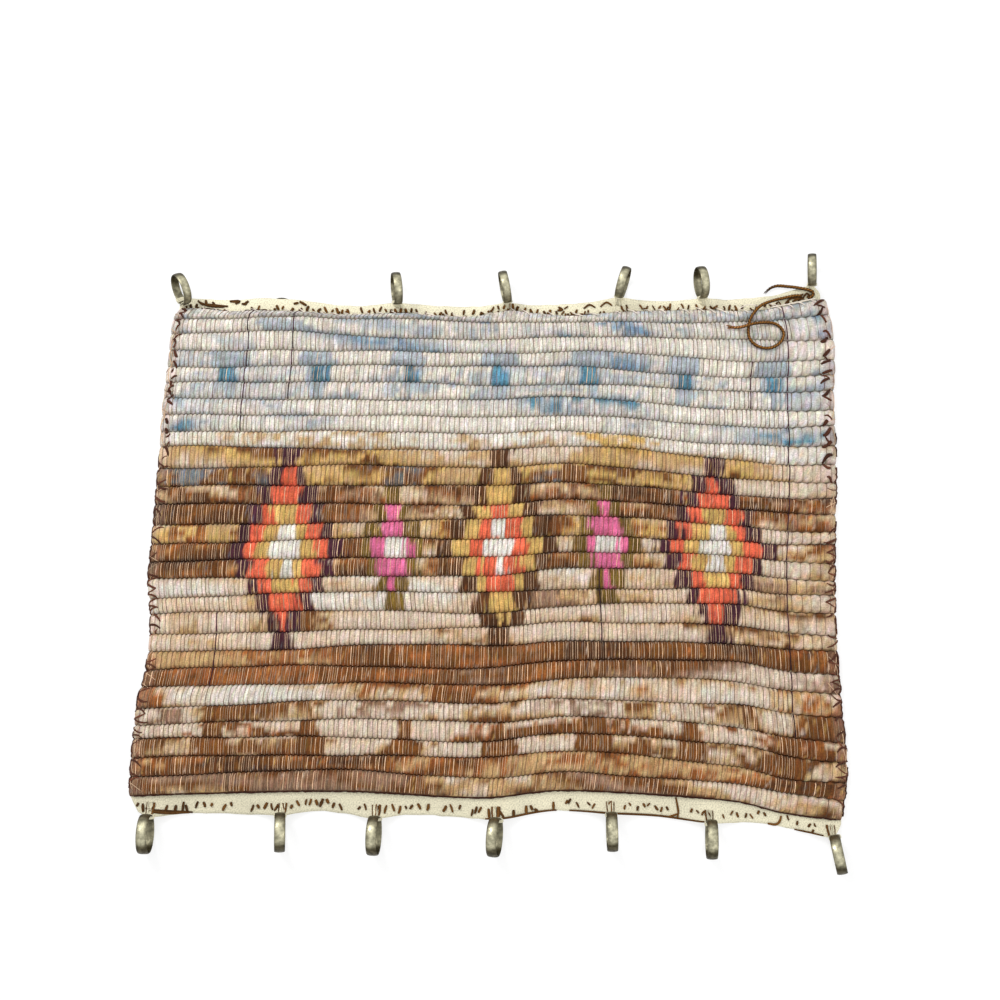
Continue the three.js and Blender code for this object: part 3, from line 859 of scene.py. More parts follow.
class Weave:
    """Where each binding thread lies and how deep it pulls, worked out once for every piece."""

    def __init__(self, sizes):
        rng = np.random.default_rng(SEED)
        shape = (RIBS, sizes.warps + 2)
        self.sizes = sizes
        self.drift = rng.normal(0, 0.55, shape)         # sideways, in millimetres
        self.depth = rng.uniform(0.25, 1.4, shape)      # pull, as a share of the bead depth
        self.tone = np.clip(rng.normal(1.0, 0.08, shape), 0.8, 1.2)
        self.pick = rng.normal(0, 2.2, shape)           # how far off a bead takes its dye from
        self.crown = rng.normal(0, 0.35, (RIBS, CROWN_SPOTS))

    def face(self, number, ribs_down):
        """A point on the beaded face, by thread number and ribs down."""
        rib = rib_of(ribs_down)
        phase = number + 0.5 * (rib % 2)
        left = np.clip(np.floor(phase), 0, self.sizes.warps).astype(int)
        part = np.clip(phase - left, 0, 1)
        bead = np.sin(np.pi * part)
        depth = blend(self.depth[rib, left], self.depth[rib, left + 1], part)
        drift = blend(self.drift[rib, left], self.drift[rib, left + 1], part)
        rise = rib_rise(ribs_down)
        across = np.clip(warp_across(self.sizes, number), 0, 1)
        spot = across * (CROWN_SPOTS - 1.01)
        low = spot.astype(int)
        swell = blend(self.crown[rib, low], self.crown[rib, low + 1], spot - low)
        point = cloth_point(across, ribs_down)
        border = np.minimum(across, 1 - across) * CLOTH_WIDTH < 0.5
        point[:, 0] += np.where(border, 0, drift * np.sqrt(rise))
        nearest = np.rint(ribs_down)
        way = np.where(nearest % 2 < 1, -1.0, 1.0)
        close = 1 - smooth(np.abs(ribs_down - nearest), 0.02, 0.25)
        inner = (nearest > 0) & (nearest < RIBS)
        zigzag = SCALLOP * way * np.cos(2 * np.pi * number) * close
        point[:, 1] += np.where(inner & ~border, zigzag, 0)
        pull = self.sizes.bead_depth / MM * depth * (1 - bead)
        point[:, 2] += (swell - pull + 0.25) * np.sqrt(rise)
        return point, bead


# ---- Operators ------------------------------------------------------------------------------

LENS, SENSOR = 50.4, 36.0               # focal length and width, in millimetres
CAMERA_TILT = math.radians(12)          # off straight down
CAMERA_DISTANCE = 1.4                   # from the middle of the weave, in metres
FLOOR_REACH = 6.0                       # from its middle to its sides, in metres
FLOOR_DROP = 0.4                        # below the cloth, in millimetres
SKY = (0.82, 1.0)                       # strength of the white sky: as light, and as seen
LAMPS = (                               # name, place, size in metres, power in watts
    ("key", (-0.9, 1.1, 1.5), 0.7, 17.0),
    ("fill", (1.2, -0.6, 1.6), 1.2, 6.0),
)


class TAPESTRY_OT_stage(bpy.types.Operator):
    """Set up the floor, the soft studio light and the camera"""

    bl_idname = "tapestry.stage"
    bl_label = "Stage"

    def execute(self, context):
        scene = context.scene
        bm = bmesh.new()
        bmesh.ops.create_grid(bm, x_segments=1, y_segments=1, size=FLOOR_REACH)
        bmesh.ops.translate(bm, verts=bm.verts, vec=(0, 0, -FLOOR_DROP * MM))
        new_mesh_object("floor", new_mesh("floor", bm), floor_material())

        world = bpy.data.worlds.new("studio")
        scene.world = world
        world.use_nodes = True
        tree = world.node_tree
        tree.nodes.clear()
        strength = add_node(tree, "ShaderNodeMapRange", {
            "Value": seen_directly(tree), "To Min": SKY[0], "To Max": SKY[1],
        })
        sky = add_node(tree, "ShaderNodeBackground", {
            "Color": (1, 1, 1, 1), "Strength": strength.outputs[0],
        })
        add_node(tree, "ShaderNodeOutputWorld", {"Surface": sky.outputs[0]})

        for name, place, size, power in LAMPS:
            lamp = bpy.data.lights.new(name, "AREA")
            lamp.size = size
            lamp.energy = power
            holder = new_object(name, lamp)
            holder.location = place
            holder.rotation_euler = (-Vector(place)).to_track_quat("-Z", "Y").to_euler()

        data = bpy.data.cameras.new("camera")
        data.lens = LENS
        data.sensor_width = SENSOR
        camera = new_object("camera", data)
        aim = Vector(placed((0, 0, 0)))
        back = Vector((0, -math.sin(CAMERA_TILT), math.cos(CAMERA_TILT)))
        camera.location = aim + back * CAMERA_DISTANCE
        camera.rotation_euler = (CAMERA_TILT, 0, 0)
        scene.camera = camera
        scene.view_settings.view_transform = "Standard"
        return {"FINISHED"}


def finer(route, step):
    """A smooth line through a route's points, with a point every step."""
    points = np.array(route, float)
    padded = np.vstack([2 * points[0] - points[1], points, 2 * points[-1] - points[-2]])
    line = []
    for i in range(len(points) - 1):
        a, b, c, d = padded[i:i + 4]
        for f in np.linspace(0, 1, 12, endpoint=False):
            line.append(0.5 * (2 * b + (c - a) * f + (2 * a - 5 * b + 4 * c - d) * f * f
                               + (3 * b - a - 3 * c + d) * f ** 3))
    line = np.array([*line, points[-1]])
    run = np.r_[0, np.cumsum(np.linalg.norm(np.diff(line, axis=0), axis=1))]
    even = np.linspace(0, run[-1], max(int(run[-1] / step), 2) + 1)
    return np.stack([np.interp(even, run, line[:, i]) for i in range(3)], axis=1), run[-1]


def plies(line, length, diameter, twist):
    """Three plies wound round each other along a line."""
    tangent = np.gradient(line, axis=0)
    tangent /= np.linalg.norm(tangent, axis=1)[:, None]
    side = np.cross(tangent, (0.0, 0.0, 1.0))
    side /= np.linalg.norm(side, axis=1)[:, None]
    up = np.cross(side, tangent)
    turn = 2 * np.pi * np.linspace(0, length, len(line)) / twist
    radius = diameter * 0.27
    made = []
    for share in (0, 1, 2):
        way = turn + share * math.tau / 3
        swing = np.cos(way)[:, None] * side + np.sin(way)[:, None] * up
        made.append(line + radius * swing)
    return made


YARN_STEP = 0.8         # between the points along a loose yarn end, in millimetres
TAIL_POINTS = 20        # how many of them the frayed fibres of its tip run along


class TAPESTRY_OT_yarn_ends(bpy.types.Operator):
    """Lay the two loose ends of the brown edging yarn"""

    bl_idname = "tapestry.yarn_ends"
    bl_label = "Loose yarn ends"

    def execute(self, context):
        sizes, dyes = context.scene.tapestry_sizes, context.scene.tapestry_dyes
        rng = np.random.default_rng(SEED + 1)
        material = yarn_material()
        diameter = sizes.yarn_diameter / MM
        for name, node, route in (
            ("loose_yarn_long", "yarn_end_loop", LOOP_ROUTE),
            ("loose_yarn_short", "yarn_end_short", SHORT_ROUTE),
        ):
            line, length = finer(route, YARN_STEP)
            paths = plies(line, length, diameter, sizes.yarn_twist / MM)
            frayed = name == "loose_yarn_long"
            to_end = (np.arange(len(line))[::-1]) * YARN_STEP
            taper = np.clip(0.55 + to_end / 30, 0, 1) if frayed else np.clip(0.3 + to_end / 26, 0, 1)
            radii = [taper] * len(paths)
            for spread in rng.uniform(-1.3, 1.3, (16 if frayed else 5, 2)):
                tail = line[-TAIL_POINTS:].copy()
                grow = np.linspace(0, 1, TAIL_POINTS)[:, None] ** 1.5
                tail[:, 1:] += grow * spread * ((2.0, 0.45) if frayed else (0.5, 0.3))
                tail[:, 0] -= grow[:, 0] * rng.uniform(0, 2.2)
                paths.append(tail)
                radii.append(np.linspace(0.4, 0.14, TAIL_POINTS))
            piece = strands(name, paths, diameter * 0.46 * MM, material, 2, radii)
            pale = [(1 - smooth(to_end, 8, 24)) * frayed for path in paths[:3]]
            pale += [np.full(TAIL_POINTS, 0.9 * frayed)] * (len(paths) - 3)
            sides = sides_of(piece, paths)
            pale = np.repeat(np.concatenate(pale), sides)[:, None]
            shade = rng.uniform(0.8, 1.2, (len(pale), 1))
            # Painted highlight on the crest of each ply and painted shade between the plies, by how
            # high a point stands over the yarn's middle.
            middles = np.repeat(placed(np.vstack([line] * 3)), sides, axis=0)
            height = coordinates(piece.data)[:len(middles), 2] - middles[:, 2]
            crest = smooth(height / (sizes.yarn_diameter / 2), 0.62, 0.97)
            shade[:len(middles), 0] *= 0.28 + 2.5 * crest
            set_colours(piece.data, blend(rgb(dyes.yarn), rgb(dyes.yarn_light), pale) * shade)
            hand_over(piece, node)
        return {"FINISHED"}


def woven_sheet(name, columns, rows, place, material, skirts=0):
    """A grid of wool, with a border turned down step by step, put in place by one function.

    place gets each vertex's share across, its share down and its step of the border."""
    bm = bmesh.new()
    bmesh.ops.create_grid(bm, x_segments=columns, y_segments=rows, size=0.5)
    for step in range(1, skirts + 1):
        rim = [edge for edge in bm.edges if edge.is_boundary]
        made = bmesh.ops.extrude_edge_only(bm, edges=rim)["geom"]
        for part in made:
            if isinstance(part, bmesh.types.BMVert):
                part.co.z = -step
    mesh = new_mesh(name, bm)
    flat = coordinates(mesh)
    points, colours, hatch = place(flat[:, 0] + 0.5, 0.5 - flat[:, 1], np.rint(-flat[:, 2]))
    mesh.vertices.foreach_set("co", placed(points).astype(np.float32).ravel())
    set_colours(mesh, colours, hatch)
    mesh.update()
    return new_mesh_object(name, mesh, material)


FLECKS = ("slate", "rust", "tan", "ochre", "olive", "blush")    # stray fibres carded into the wool
RIB_ROWS = np.array((0.0, 0.05, 0.2, 0.5, 0.8, 0.95))     # rows of points down one rib
BEAD_COLUMNS = 4        # columns of points across one bead


class TAPESTRY_OT_cloth(bpy.types.Operator):
    """Weave the ribs of wool, the face and the back"""

    bl_idname = "tapestry.cloth"
    bl_label = "Wool cloth"

    def execute(self, context):
        sizes, dyes = context.scene.tapestry_sizes, context.scene.tapestry_dyes
        weave = Weave(sizes)
        design = Design(dyes)
        material = wool_material()
        rows = RIBS * len(RIB_ROWS)

        def face_place(u, v, step):
            row = np.rint(v * rows)
            ribs_down = np.floor(row / len(RIB_ROWS)) + RIB_ROWS[(row % len(RIB_ROWS)).astype(int)]
            ribs_down = np.minimum(ribs_down, RIBS)
            number = np.rint(u * sizes.warps * BEAD_COLUMNS) / BEAD_COLUMNS
            point, bead = weave.face(number, ribs_down)
            rib = rib_of(ribs_down)
            left = np.clip(np.floor(number + 0.5 * (rib % 2)), 0, sizes.warps).astype(int)
            colour = design.at(point[:, 0] + weave.pick[rib, left], ribs_down)
            inset = np.minimum(np.abs(point[:, 0] - line_through(LEFT_EDGE, ribs_down / RIBS)),
                               np.abs(point[:, 0] - line_through(RIGHT_EDGE, ribs_down / RIBS)))
            ends = (1 - smooth(inset, 6, 12)) * (0.55 - 0.45 * smooth(ribs_down, 9, 11))
            colour = blend(colour, rgb(dyes.puff), ends[:, None])
            light = smooth(lightness(colour), 0.1, 0.45)

            # Painted shade in the grooves: dark at their bottom, more so where threads pinch them, and
            # less so by dark wool; a little lighter between the threads.
            rise = rib_rise(ribs_down)
            groove_shade_rng = np.random.default_rng(SEED + 9)
            groove_shade_field = random_field(groove_shade_rng, point[:, 0], np.rint(ribs_down) * 50.0, 9, 9)
            groove = 0.05 + 0.35 * groove_shade_field * groove_shade_field + 0.5 * bead * bead
            shade = groove + (1 - groove) * smooth(rise, 0.0, 0.62)
            # Painted shade where the threads sink in near the grooves.
            shade = shade * (1 - 0.3 * (1 - bead) * (1 - smooth(rise, 0.4, 0.9)))
            shade = shade * (1 + (weave.tone[rib, left] - 1) * (1.8 - light))
            # Painted highlight on the middle of each bead.
            shade = shade * (0.93 + 0.07 * bead)

            # Carded wool: every point is a little off its dye, and some are of a stray fibre.
            heather = np.random.default_rng(SEED + 10)
            shade = shade * heather.uniform(0.78, 1.2, len(u))
            colour = colour * heather.uniform(0.9, 1.1, (len(u), 3))
            flecks = np.array([rgb(getattr(dyes, name)) for name in FLECKS])
            chosen = flecks[heather.integers(0, len(flecks), len(u))]
            carded = 0.5 * (heather.random(len(u)) < 0.07)[:, None] * (1 - 0.75 * light[:, None])
            colour = blend(colour, chosen, carded)

            # The painted shade is kept lighter on the outer rows and the start of the first rib, which
            # lie open.
            edge = (v < 0.001) | (v > 0.999)
            shade = np.where(edge, np.maximum(shade, 0.5), shade)
            shade = np.where(ribs_down < 0.4, np.maximum(shade, 0.72), shade)

            # The border turns down in two steps: a little out at the first, in at its foot.
            out = np.stack([(u > 0.999) * 1.0 - (u < 0.001), (v < 0.001) * 1.0 - (v > 0.999)], 1)
            side = np.abs(out[:, 0]) > 0
            floor_z = ground_at(point[:, 0], point[:, 1]) + np.where(side, 0.4, 1.7)
            middle, low = step == 1, step == 2
            height = point[:, 2]
            point[:, 2] = np.where(middle, blend(height, floor_z, 0.55), height)
            point[:, 2] = np.where(low, floor_z, point[:, 2])
            push = np.where(middle, 0.9, np.where(low, -0.5, 0.0))
            point[:, :2] += out * push[:, None]
            return point, colour * shade[:, None] ** PAINTED_SHADE_WARMTH, 1.15 - 0.85 * light

        columns = sizes.warps * BEAD_COLUMNS
        face = woven_sheet("wool_face", columns, rows, face_place, material, 2)

        def back_place(u, v, step):
            ribs_down = v * RIBS
            number = u * sizes.warps
            across = warp_across(sizes, number)
            x, y, _ = cloth_xy(across, ribs_down)
            rise = rib_rise(ribs_down)
            phase = (number + 0.5 * (np.floor(ribs_down) % 2)) % 1
            z = ground_at(x, y) + 0.3 + 2.6 * (1 - rise) + 0.35 * (phase < 0.25)
            for outward, edge in ((1, UPPER_TAPE), (-1, LOWER_TAPE)):
                inward = outward * (line_through(edge, x) - y)
                over = inward < TAPE_WIDTH + 1.5
                rest = lift_at(x, y, outward) + TAPE_THICKNESS + 0.35
                z = np.where(over, np.maximum(z, rest), z)
            colour = design.at(x, ribs_down)
            # Painted shade on the back: darker in the grooves and where the threads cross.
            shade = 0.4 + 0.6 * smooth(rise, 0.0, 0.8)
            shade = shade * np.where(phase < 0.25, 0.7, 1.0)
            return np.stack([x, y, z], 1), colour * shade[:, None], 0.6

        back = woven_sheet("wool_back", sizes.warps * 2, RIBS * 4, back_place, material)
        back.data.flip_normals()
        for piece in (face, back):
            hand_over(piece, "tapestry")
        return {"FINISHED"}


# Threads that run on over many ribs: thread number, first rib, last rib.
LONG_THREADS = ((136, 0, 23), (17, 0, 7), (27, 0, 5), (14, 18, 21), (96, 16, 19), (128, 3, 5))


class TAPESTRY_OT_warp(bpy.types.Operator):
    """Bind every rib with its fine warp threads"""

    bl_idname = "tapestry.warp"
    bl_label = "Warp threads"

    def execute(self, context):
        sizes, dyes = context.scene.tapestry_sizes, context.scene.tapestry_dyes
        weave = Weave(sizes)
        design = Design(dyes)
        rng = np.random.default_rng(SEED + 4)
        at = np.array((0.05, 0.2, 0.5, 0.8, 0.95))
        made = {"binding_threads": Threads(), "pale_threads": Threads()}
        dark, pale, long_dark = rgb(dyes.warp_dark), rgb(dyes.warp_pale), rgb(dyes.plum)

        def lay(piece, number, rib, thick, above, colour=None):
            point, _ = weave.face(np.full(len(at), float(number)), rib + at)
            point[:, 2] += above
            point[:, 0] += rng.normal(0, 0.35) * (at - 0.5)
            wool = lightness(design.at(point[2:3, 0], np.array([rib + 0.5])))[0]
            light = smooth(wool, 0.12, 0.38)
            if piece == "pale_threads" and (light > 0.6 or rng.random() < 0.35):
                return
            # Painted light and shade: over pale wool a thread takes the dark warp colour, sunk in
            # shade, and over dark wool the pale warp colour, catching the light; both start from the
            # thread's own colour.
            light = float(rng.random() < light)
            if colour is None:
                thick = 0.75 * thick if light else max(thick, 0.7)
                colour = dark if light else pale
            shade = rng.uniform(0.6, 1.5) if light else 0.35 + 0.95 * rng.random() ** 1.5
            made[piece].add(point, np.array((1.3, 1, 0.8, 1, 1.3)) * thick, colour * shade)

        for rib in range(RIBS):
            shift = 0.5 * (rib % 2)
            for number in np.arange(1 - shift, sizes.warps - 0.8 * shift):
                lay("binding_threads", number, rib, rng.uniform(0.4, 1.25), 0.1)
                middle = number + 0.5 + rng.uniform(-0.12, 0.12)
                if middle < sizes.warps - 0.5:
                    lay("pale_threads", middle, rib, rng.uniform(0.35, 0.65), 0.05, pale * 0.8)
        for number, first, last in LONG_THREADS:
            for rib in range(first, last + 1):
                lay("binding_threads", number, rib, 1.6, 0.3, long_dark)
        for name, threads in made.items():
            piece = strands(
                name, threads.paths, sizes.warp_thickness, warp_material(), 0, threads.radii,
            )
            each = sides_of(piece, threads.paths) * len(at)
            set_colours(piece.data, np.repeat(np.array(threads.tones), each, axis=0))
            hand_over(piece)
        return {"FINISHED"}


class TAPESTRY_OT_tapes(bpy.types.Operator):
    """Sew the cotton tapes behind the upper and the lower edge"""

    bl_idname = "tapestry.tapes"
    bl_label = "Cotton tapes"

    def execute(self, context):
        dyes = context.scene.tapestry_dyes
        material = tape_material()
        cotton = rgb(dyes.cotton)
        for name, node, edge, outward in (
            ("cotton_tape_top", "tape_top", UPPER_TAPE, 1),
            ("cotton_tape_bottom", "tape_bottom", LOWER_TAPE, -1),
        ):
            rng = np.random.default_rng(SEED + 5)
            first, last = edge[0][0], edge[-1][0]

            def tape_place(u, v, step):
                x = first + (last - first) * u
                share = v if outward > 0 else 1 - v
                fray = (random_field(rng, x, v * 0, 7, 1) - 0.5) * 0.8
                inward = share * TAPE_WIDTH + fray * (share < 0.01)
                corner = 9 * np.clip(1 - inward / 11, 0, 1) ** 1.6
                x = x + corner * ((1 - smooth(u, 0, 0.04)) - smooth(u, 0.96, 1))
                pucker = (random_field(rng, x, share * 20, 11, 8) - 0.5) * 0.25
                # Painted shade: the lower tape is dimmer than the upper and dimmer still towards its
                # left end; the random field is the cotton's own uneven tone.
                painted_dimming = 1.0 if outward > 0 else 0.8 + 0.12 * smooth(x, -340, 150)
                darkened = painted_dimming * (0.92 + 0.12 * random_field(rng, x, share * 25, 22, 9))
                colours = cotton * darkened[:, None]
                return tape_point(x, inward, outward, -0.05 + pucker), colours, 0.0

            piece = woven_sheet(name, 300, 8, tape_place, material)
            layer = piece.data.uv_layers.new(name="weave")
            spots = np.empty(len(piece.data.loops), int)
            piece.data.loops.foreach_get("vertex_index", spots)
            flat = coordinates(piece.data) / MM
            layer.data.foreach_set("uv", flat[spots, :2].ravel())
            thick = piece.modifiers.new("thickness", "SOLIDIFY")
            thick.thickness = (TAPE_THICKNESS - 0.15) * MM
            thick.offset = -1
            hand_over(piece, node)
        return {"FINISHED"}


def ring_place(node):
    """The middle of a packed ring and the way its axis points, in the frame's millimetres."""
    solid = coordinates(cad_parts[node].data)
    middle = (solid.min(0) + solid.max(0)) / 2
    _, _, turns = np.linalg.svd(solid - solid.mean(0), full_matrices=False)
    return middle / MM, turns[2]


def ring_profile(size):
    """A cross-section of the band, from its bore out: radius and place along the axis."""
    bore, crown = size["inner"] / 2, size["outer"] / 2
    half = size["width"] / 2
    return (
        (bore + 0.2, -half + 0.1), (bore, -half + 0.5), (bore, half - 0.5), (bore + 0.2, half - 0.1),
        (crown - 1.0, half), (crown - 0.6, half * 0.9), (crown - 0.25, half * 0.62),
        (crown - 0.03, half * 0.25), (crown - 0.03, -half * 0.25), (crown - 0.25, -half * 0.62),
        (crown - 0.6, -half * 0.9), (crown - 1.0, -half),
    )


def ring_colours(dyes, mesh, place, size, outward):
    """Painted highlight along the crown and the middle of the ring, and painted shade at its outer end,
    the sides of the band and its bore.
    """
    flat = coordinates(mesh)
    own = (flat - np.array(place.translation)) @ np.array(place.to_3x3())
    across = np.abs(own[:, 2]) / (size["width"] / 2 * MM)
    inside = np.hypot(own[:, 0], own[:, 1]) < (size["inner"] / 2 + 0.1) * MM
    away = flat[:, 1] * outward
    away = (away - away.min()) / np.ptp(away)
    near = 0.3 if outward < 0 else 0.55
    bright = near + (1 - near) * smooth(away, 0.04, 0.34)
    bright *= 1 - 0.92 * smooth(away, 0.7, 0.84)
    bright *= np.where(inside, 0.4, 1 - 0.55 * smooth(across, 0.3, 0.95))
    lies_flat = np.ptp(flat[:, 2]) < 12 * MM        # the folded ring lies under the tape, painted in shade all over
    if lies_flat:
        bright *= 0
    bright = bright[:, None]
    return blend(rgb(dyes.metal_shade), rgb(dyes.metal), bright)


class TAPESTRY_OT_rings(bpy.types.Operator):
    """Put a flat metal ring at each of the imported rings"""

    bl_idname = "tapestry.rings"
    bl_label = "Curtain rings"

    def execute(self, context):
        dyes = context.scene.tapestry_dyes
        material = metal_material()
        for outward, prefix, rows, _, size in RING_ROWS:
            for number in range(1, len(rows) + 1):
                node = f"{prefix}{number}"
                middle, axis = ring_place(node)
                bm = bmesh.new()
                corners = [bm.verts.new((r * MM, 0, z * MM)) for r, z in ring_profile(size)]
                for a, b in zip(corners, corners[1:] + corners[:1]):
                    bm.edges.new((a, b))
                bmesh.ops.spin(
                    bm, geom=bm.verts[:] + bm.edges[:], cent=(0, 0, 0), axis=(0, 0, 1),
                    angle=2 * math.pi, steps=64, use_merge=True, use_duplicate=False,
                )
                bmesh.ops.remove_doubles(bm, verts=bm.verts, dist=0.001 * MM)
                swing = Vector(axis).to_track_quat("Z", "Y").to_matrix().to_4x4()
                place = Matrix.Translation(middle * MM) @ swing
                bmesh.ops.transform(bm, verts=bm.verts, matrix=place)
                bmesh.ops.recalc_face_normals(bm, faces=bm.faces)
                mesh = new_mesh(node.replace("ring", "curtain_ring"), bm)
                piece = new_mesh_object(mesh.name, mesh, material)
                set_colours(mesh, ring_colours(dyes, mesh, place, size, outward))
                hand_over(piece, node)
        return {"FINISHED"}


def sew(name, material, thickness, colour, threads, rng):
    """A piece of many strands, each in its own shade of one colour."""
    piece = strands(name, threads.paths, thickness, material, 1, threads.radii)
    counts = np.array([len(path) for path in threads.paths]) * sides_of(piece, threads.paths)
    shade = np.repeat(threads.tones, counts)
    shade = shade * rng.uniform(0.85, 1.15, len(shade))
    set_colours(piece.data, rgb(colour) * shade[:, None])
    hand_over(piece)


def side_line(side, inset, ribs_down, above):
    """A line on the cloth, by how far it is in from a side edge and how many ribs down."""
    share = np.asarray(inset, float) / CLOTH_WIDTH
    line = cloth_point(1 - share if side else share, np.asarray(ribs_down, float), above)
    outside = np.clip(-np.asarray(inset, float), 0, 1.5)
    line[:, 2] -= outside * 2.4
    return line


# Stretches of the side edges where the brown yarn runs on along the edge, in ribs down.
SIDE_RUNS = (
    (0, 9.4, 16.4), (0, 17.3, 19.0), (0, 20.4, 23.2), (0, 24.5, 27.6),
    (1, 7.4, 8.6), (1, 9.2, 11.4), (1, 12.4, 19.0), (1, 20.0, 24.4), (1, 25.2, 27.8),
)
PALE_SIDE_RIBS = 9.3    # down to here the stitches stand in from the edge, on pale wool

# Stretches of the lower and the upper edge where a dark brown strand is laid as painted shadow between
# cloth and tape: ribs down, from and to.
EDGE_SHADOW_STRANDS = (
    (RIBS, 0.005, 0.995), (0, 0.03, 0.07), (0, 0.1, 0.13), (0, 0.33, 0.36), (0, 0.6, 0.64),
)
# Loose white threads along the upper edge: share across, from and to, and how far out they bow.
LOOSE_RUNS = ((0.915, 0.985, 0.4), (0.865, 0.9, 5.5), (0.895, 0.925, 4.5))


class TAPESTRY_OT_edge_stitches(bpy.types.Operator):
    """Whip the side edges with brown yarn and white thread, and lay dark strands of painted shadow
    along the upper and lower edge
    """

    bl_idname = "tapestry.edge_stitches"
    bl_label = "Edge stitches"

    def execute(self, context):
        sizes, dyes = context.scene.tapestry_sizes, context.scene.tapestry_dyes
        rng = np.random.default_rng(SEED + 6)
        brown, white, warm = Threads(), Threads(), Threads()
        f = np.linspace(0, 1, 8)
        for side in (0, 1):
            down = 0.1
            while down < RIBS - 0.7:
                pitch = rng.uniform(8, 13) / RIB_PITCH
                pale = down < PALE_SIDE_RIBS
                inner = rng.uniform(2.0, 4.5) if pale else -1.2
                reach = rng.uniform(8, 11) + 3.0 * side * pale
                turn = down + pitch * rng.uniform(0.3, 0.75)
                back = down + pitch * rng.uniform(0.85, 1.05)
                for foot, thick, tone in ((down, 1.15, 0.9), (back, 0.75, 1.4)):
                    if rng.random() < (0.2 if pale else 0.3):
                        continue
                    bow = rng.uniform(-0.16, 0.16) * np.sin(np.pi * f)
                    outer_end = inner + rng.uniform(-0.5, 2.5) * pale
                    inset = outer_end + f * (reach + rng.uniform(-3, 1) - outer_end)
                    line = side_line(side, inset, foot + (turn - foot) * f + bow, 0.35)
                    thick = thick * rng.uniform(0.75, 1.2) * ((1.2 if side else 1.0) if pale else 0.75)
                    swell = np.sin(np.pi * np.linspace(0.16, 0.94, len(f))) ** 0.7
                    brown.add(line, thick * (swell * 0.85 + rng.uniform(0.1, 0.4, len(f))),
                              tone * rng.uniform(0.7, 1.3) * (1.0 if pale else 1.35))
                if rng.random() < 0.5:
                    at = np.clip(down + f * rng.uniform(0.8, 1.8), 0.02, RIBS - 0.02)
                    bow = rng.uniform(0.5, 3.0) - 2.5 * np.sin(np.pi * f) + rng.uniform(0, 3)
                    warm.add(side_line(side, bow, at, 0.25))
                if rng.random() < 0.3:
                    inset = f * rng.uniform(6, 12) - 0.5
                    lean = rng.uniform(0.25, 0.7) * rng.choice((-1, 1))
                    at = np.clip(turn + 0.2 + lean * f, 0.02, RIBS - 0.02)
                    warm.add(side_line(side, inset, at, 0.3))
                down += pitch * rng.uniform(0.9, 1.15)
        for side, start, end in SIDE_RUNS:
            count = int((end - start) * 8) + 2
            at = np.linspace(start, end, count)
            inset = -0.5 + rng.uniform(-0.5, 0.9, count)
            line = side_line(side, inset, at, 0.1)
            brown.add(line, rng.uniform(0.5, 1.15, count), rng.uniform(0.6, 1.2))
        # Painted shadow: dark brown strands where the cloth's lower and upper edges meet the tapes.
        for edge_ribs, start, end in EDGE_SHADOW_STRANDS:
            count = int((end - start) * 260) + 2
            line = cloth_point(np.linspace(start, end, count), np.full(count, float(edge_ribs)))
            outward = -1 if edge_ribs else 1
            line[:, 1] += outward * (0.7 + rng.uniform(-0.3, 0.3, count))
            line[:, 2] -= 0.7
            brown.add(line, rng.uniform(0.55, 0.95, count), 0.7)
        sew("edge_stitches", yarn_material(), sizes.stitch_thickness, dyes.stitch,
            brown, rng)

        # Slanting threads hold the upper edge down on its tape; three more lie loose along it.
        across = 0.03
        while across < 0.985:
            step = rng.uniform(0.009, 0.017)
            if rng.random() < 0.75:
                share = np.linspace(across, across + step, 6)
                line = cloth_point(share, np.array((0, 0, 0.04, 0.12, 0.22, 0.34)))
                line[:, 1] += np.array((3.4, 1.8, 0.5, 0.2, 0, 0)) * rng.uniform(0.5, 1.1)
                line[:, 2] += np.array((-0.6, 1.4, 1.9, 2.0, 1.7, 0.6))
                shade = rng.uniform(0.8, 1.15)
                white.add(line, 0.35 + 0.5 * shade, shade)
            across += step * rng.uniform(1.1, 1.9)
        for start, end, high in LOOSE_RUNS:
            share = np.linspace(start, end, 24)
            line = cloth_point(share, np.full(24, 0.05))
            line[:, 1] += 0.8 + high * np.sin(np.linspace(0.2, np.pi - 0.2, 24))
            line[:, 2] += 1.6
            white.add(line, 0.9, 1.1)
        sew("edge_threads", thread_material(), sizes.cotton_thickness, dyes.thread,
            white, rng)
        warm.radii = [radius * rng.uniform(0.7, 1.2) for radius in warm.radii]
        warm.tones = rng.uniform(0.35, 0.9, len(warm.paths))
        sew("edge_warp_threads", warp_material(), sizes.warp_thickness,
            dyes.warp_pale, warm, rng)
        return {"FINISHED"}


# Runs of brown yarn on the tapes: x and how far in from the tape's outer edge, in millimetres.
UPPER_RUNS = (
    ((-311, 2), (-307, 5.5), (-299, 6), (-290, 6.6), (-280, 7)),
    ((-309, 4), (-302, 6.5), (-294, 7.4), (-284, 7.6)),
    ((-303, 1), (-302, 6.5)), ((-296, 3), (-293, 6.5)),
    ((-278, 1.6), (-268, 2), (-272, 4.6)), ((-276, 2.2), (-270, 2.4)),
    ((-262, 5.5), (-258, 2.5)), ((-265, 5), (-260, 6)),
    ((-205, 2), (-198, 5.5)), ((-211, 5), (-206, 3.5)),
    ((60, 3), (64, 6), (59, 6.6)), ((66, 5.5), (70, 2.6)),
    ((86, 6.4), (92, 2.8), (98, 6.4)), ((103, 6.4), (109, 3), (115, 6.6)),
    ((296, 9.5), (301, 8.0), (306, 9.5), (311, 8.5)),
    ((301, 11.5), (307, 10.5), (313, 12.0)), ((303, 7.0), (308, 9.0), (312, 6.5)),
    ((312, 11.0), (315, 7.5), (318, 8.5)), ((307, 12.5), (311, 9.5)), ((316, 11.5), (319, 9.0)),
)
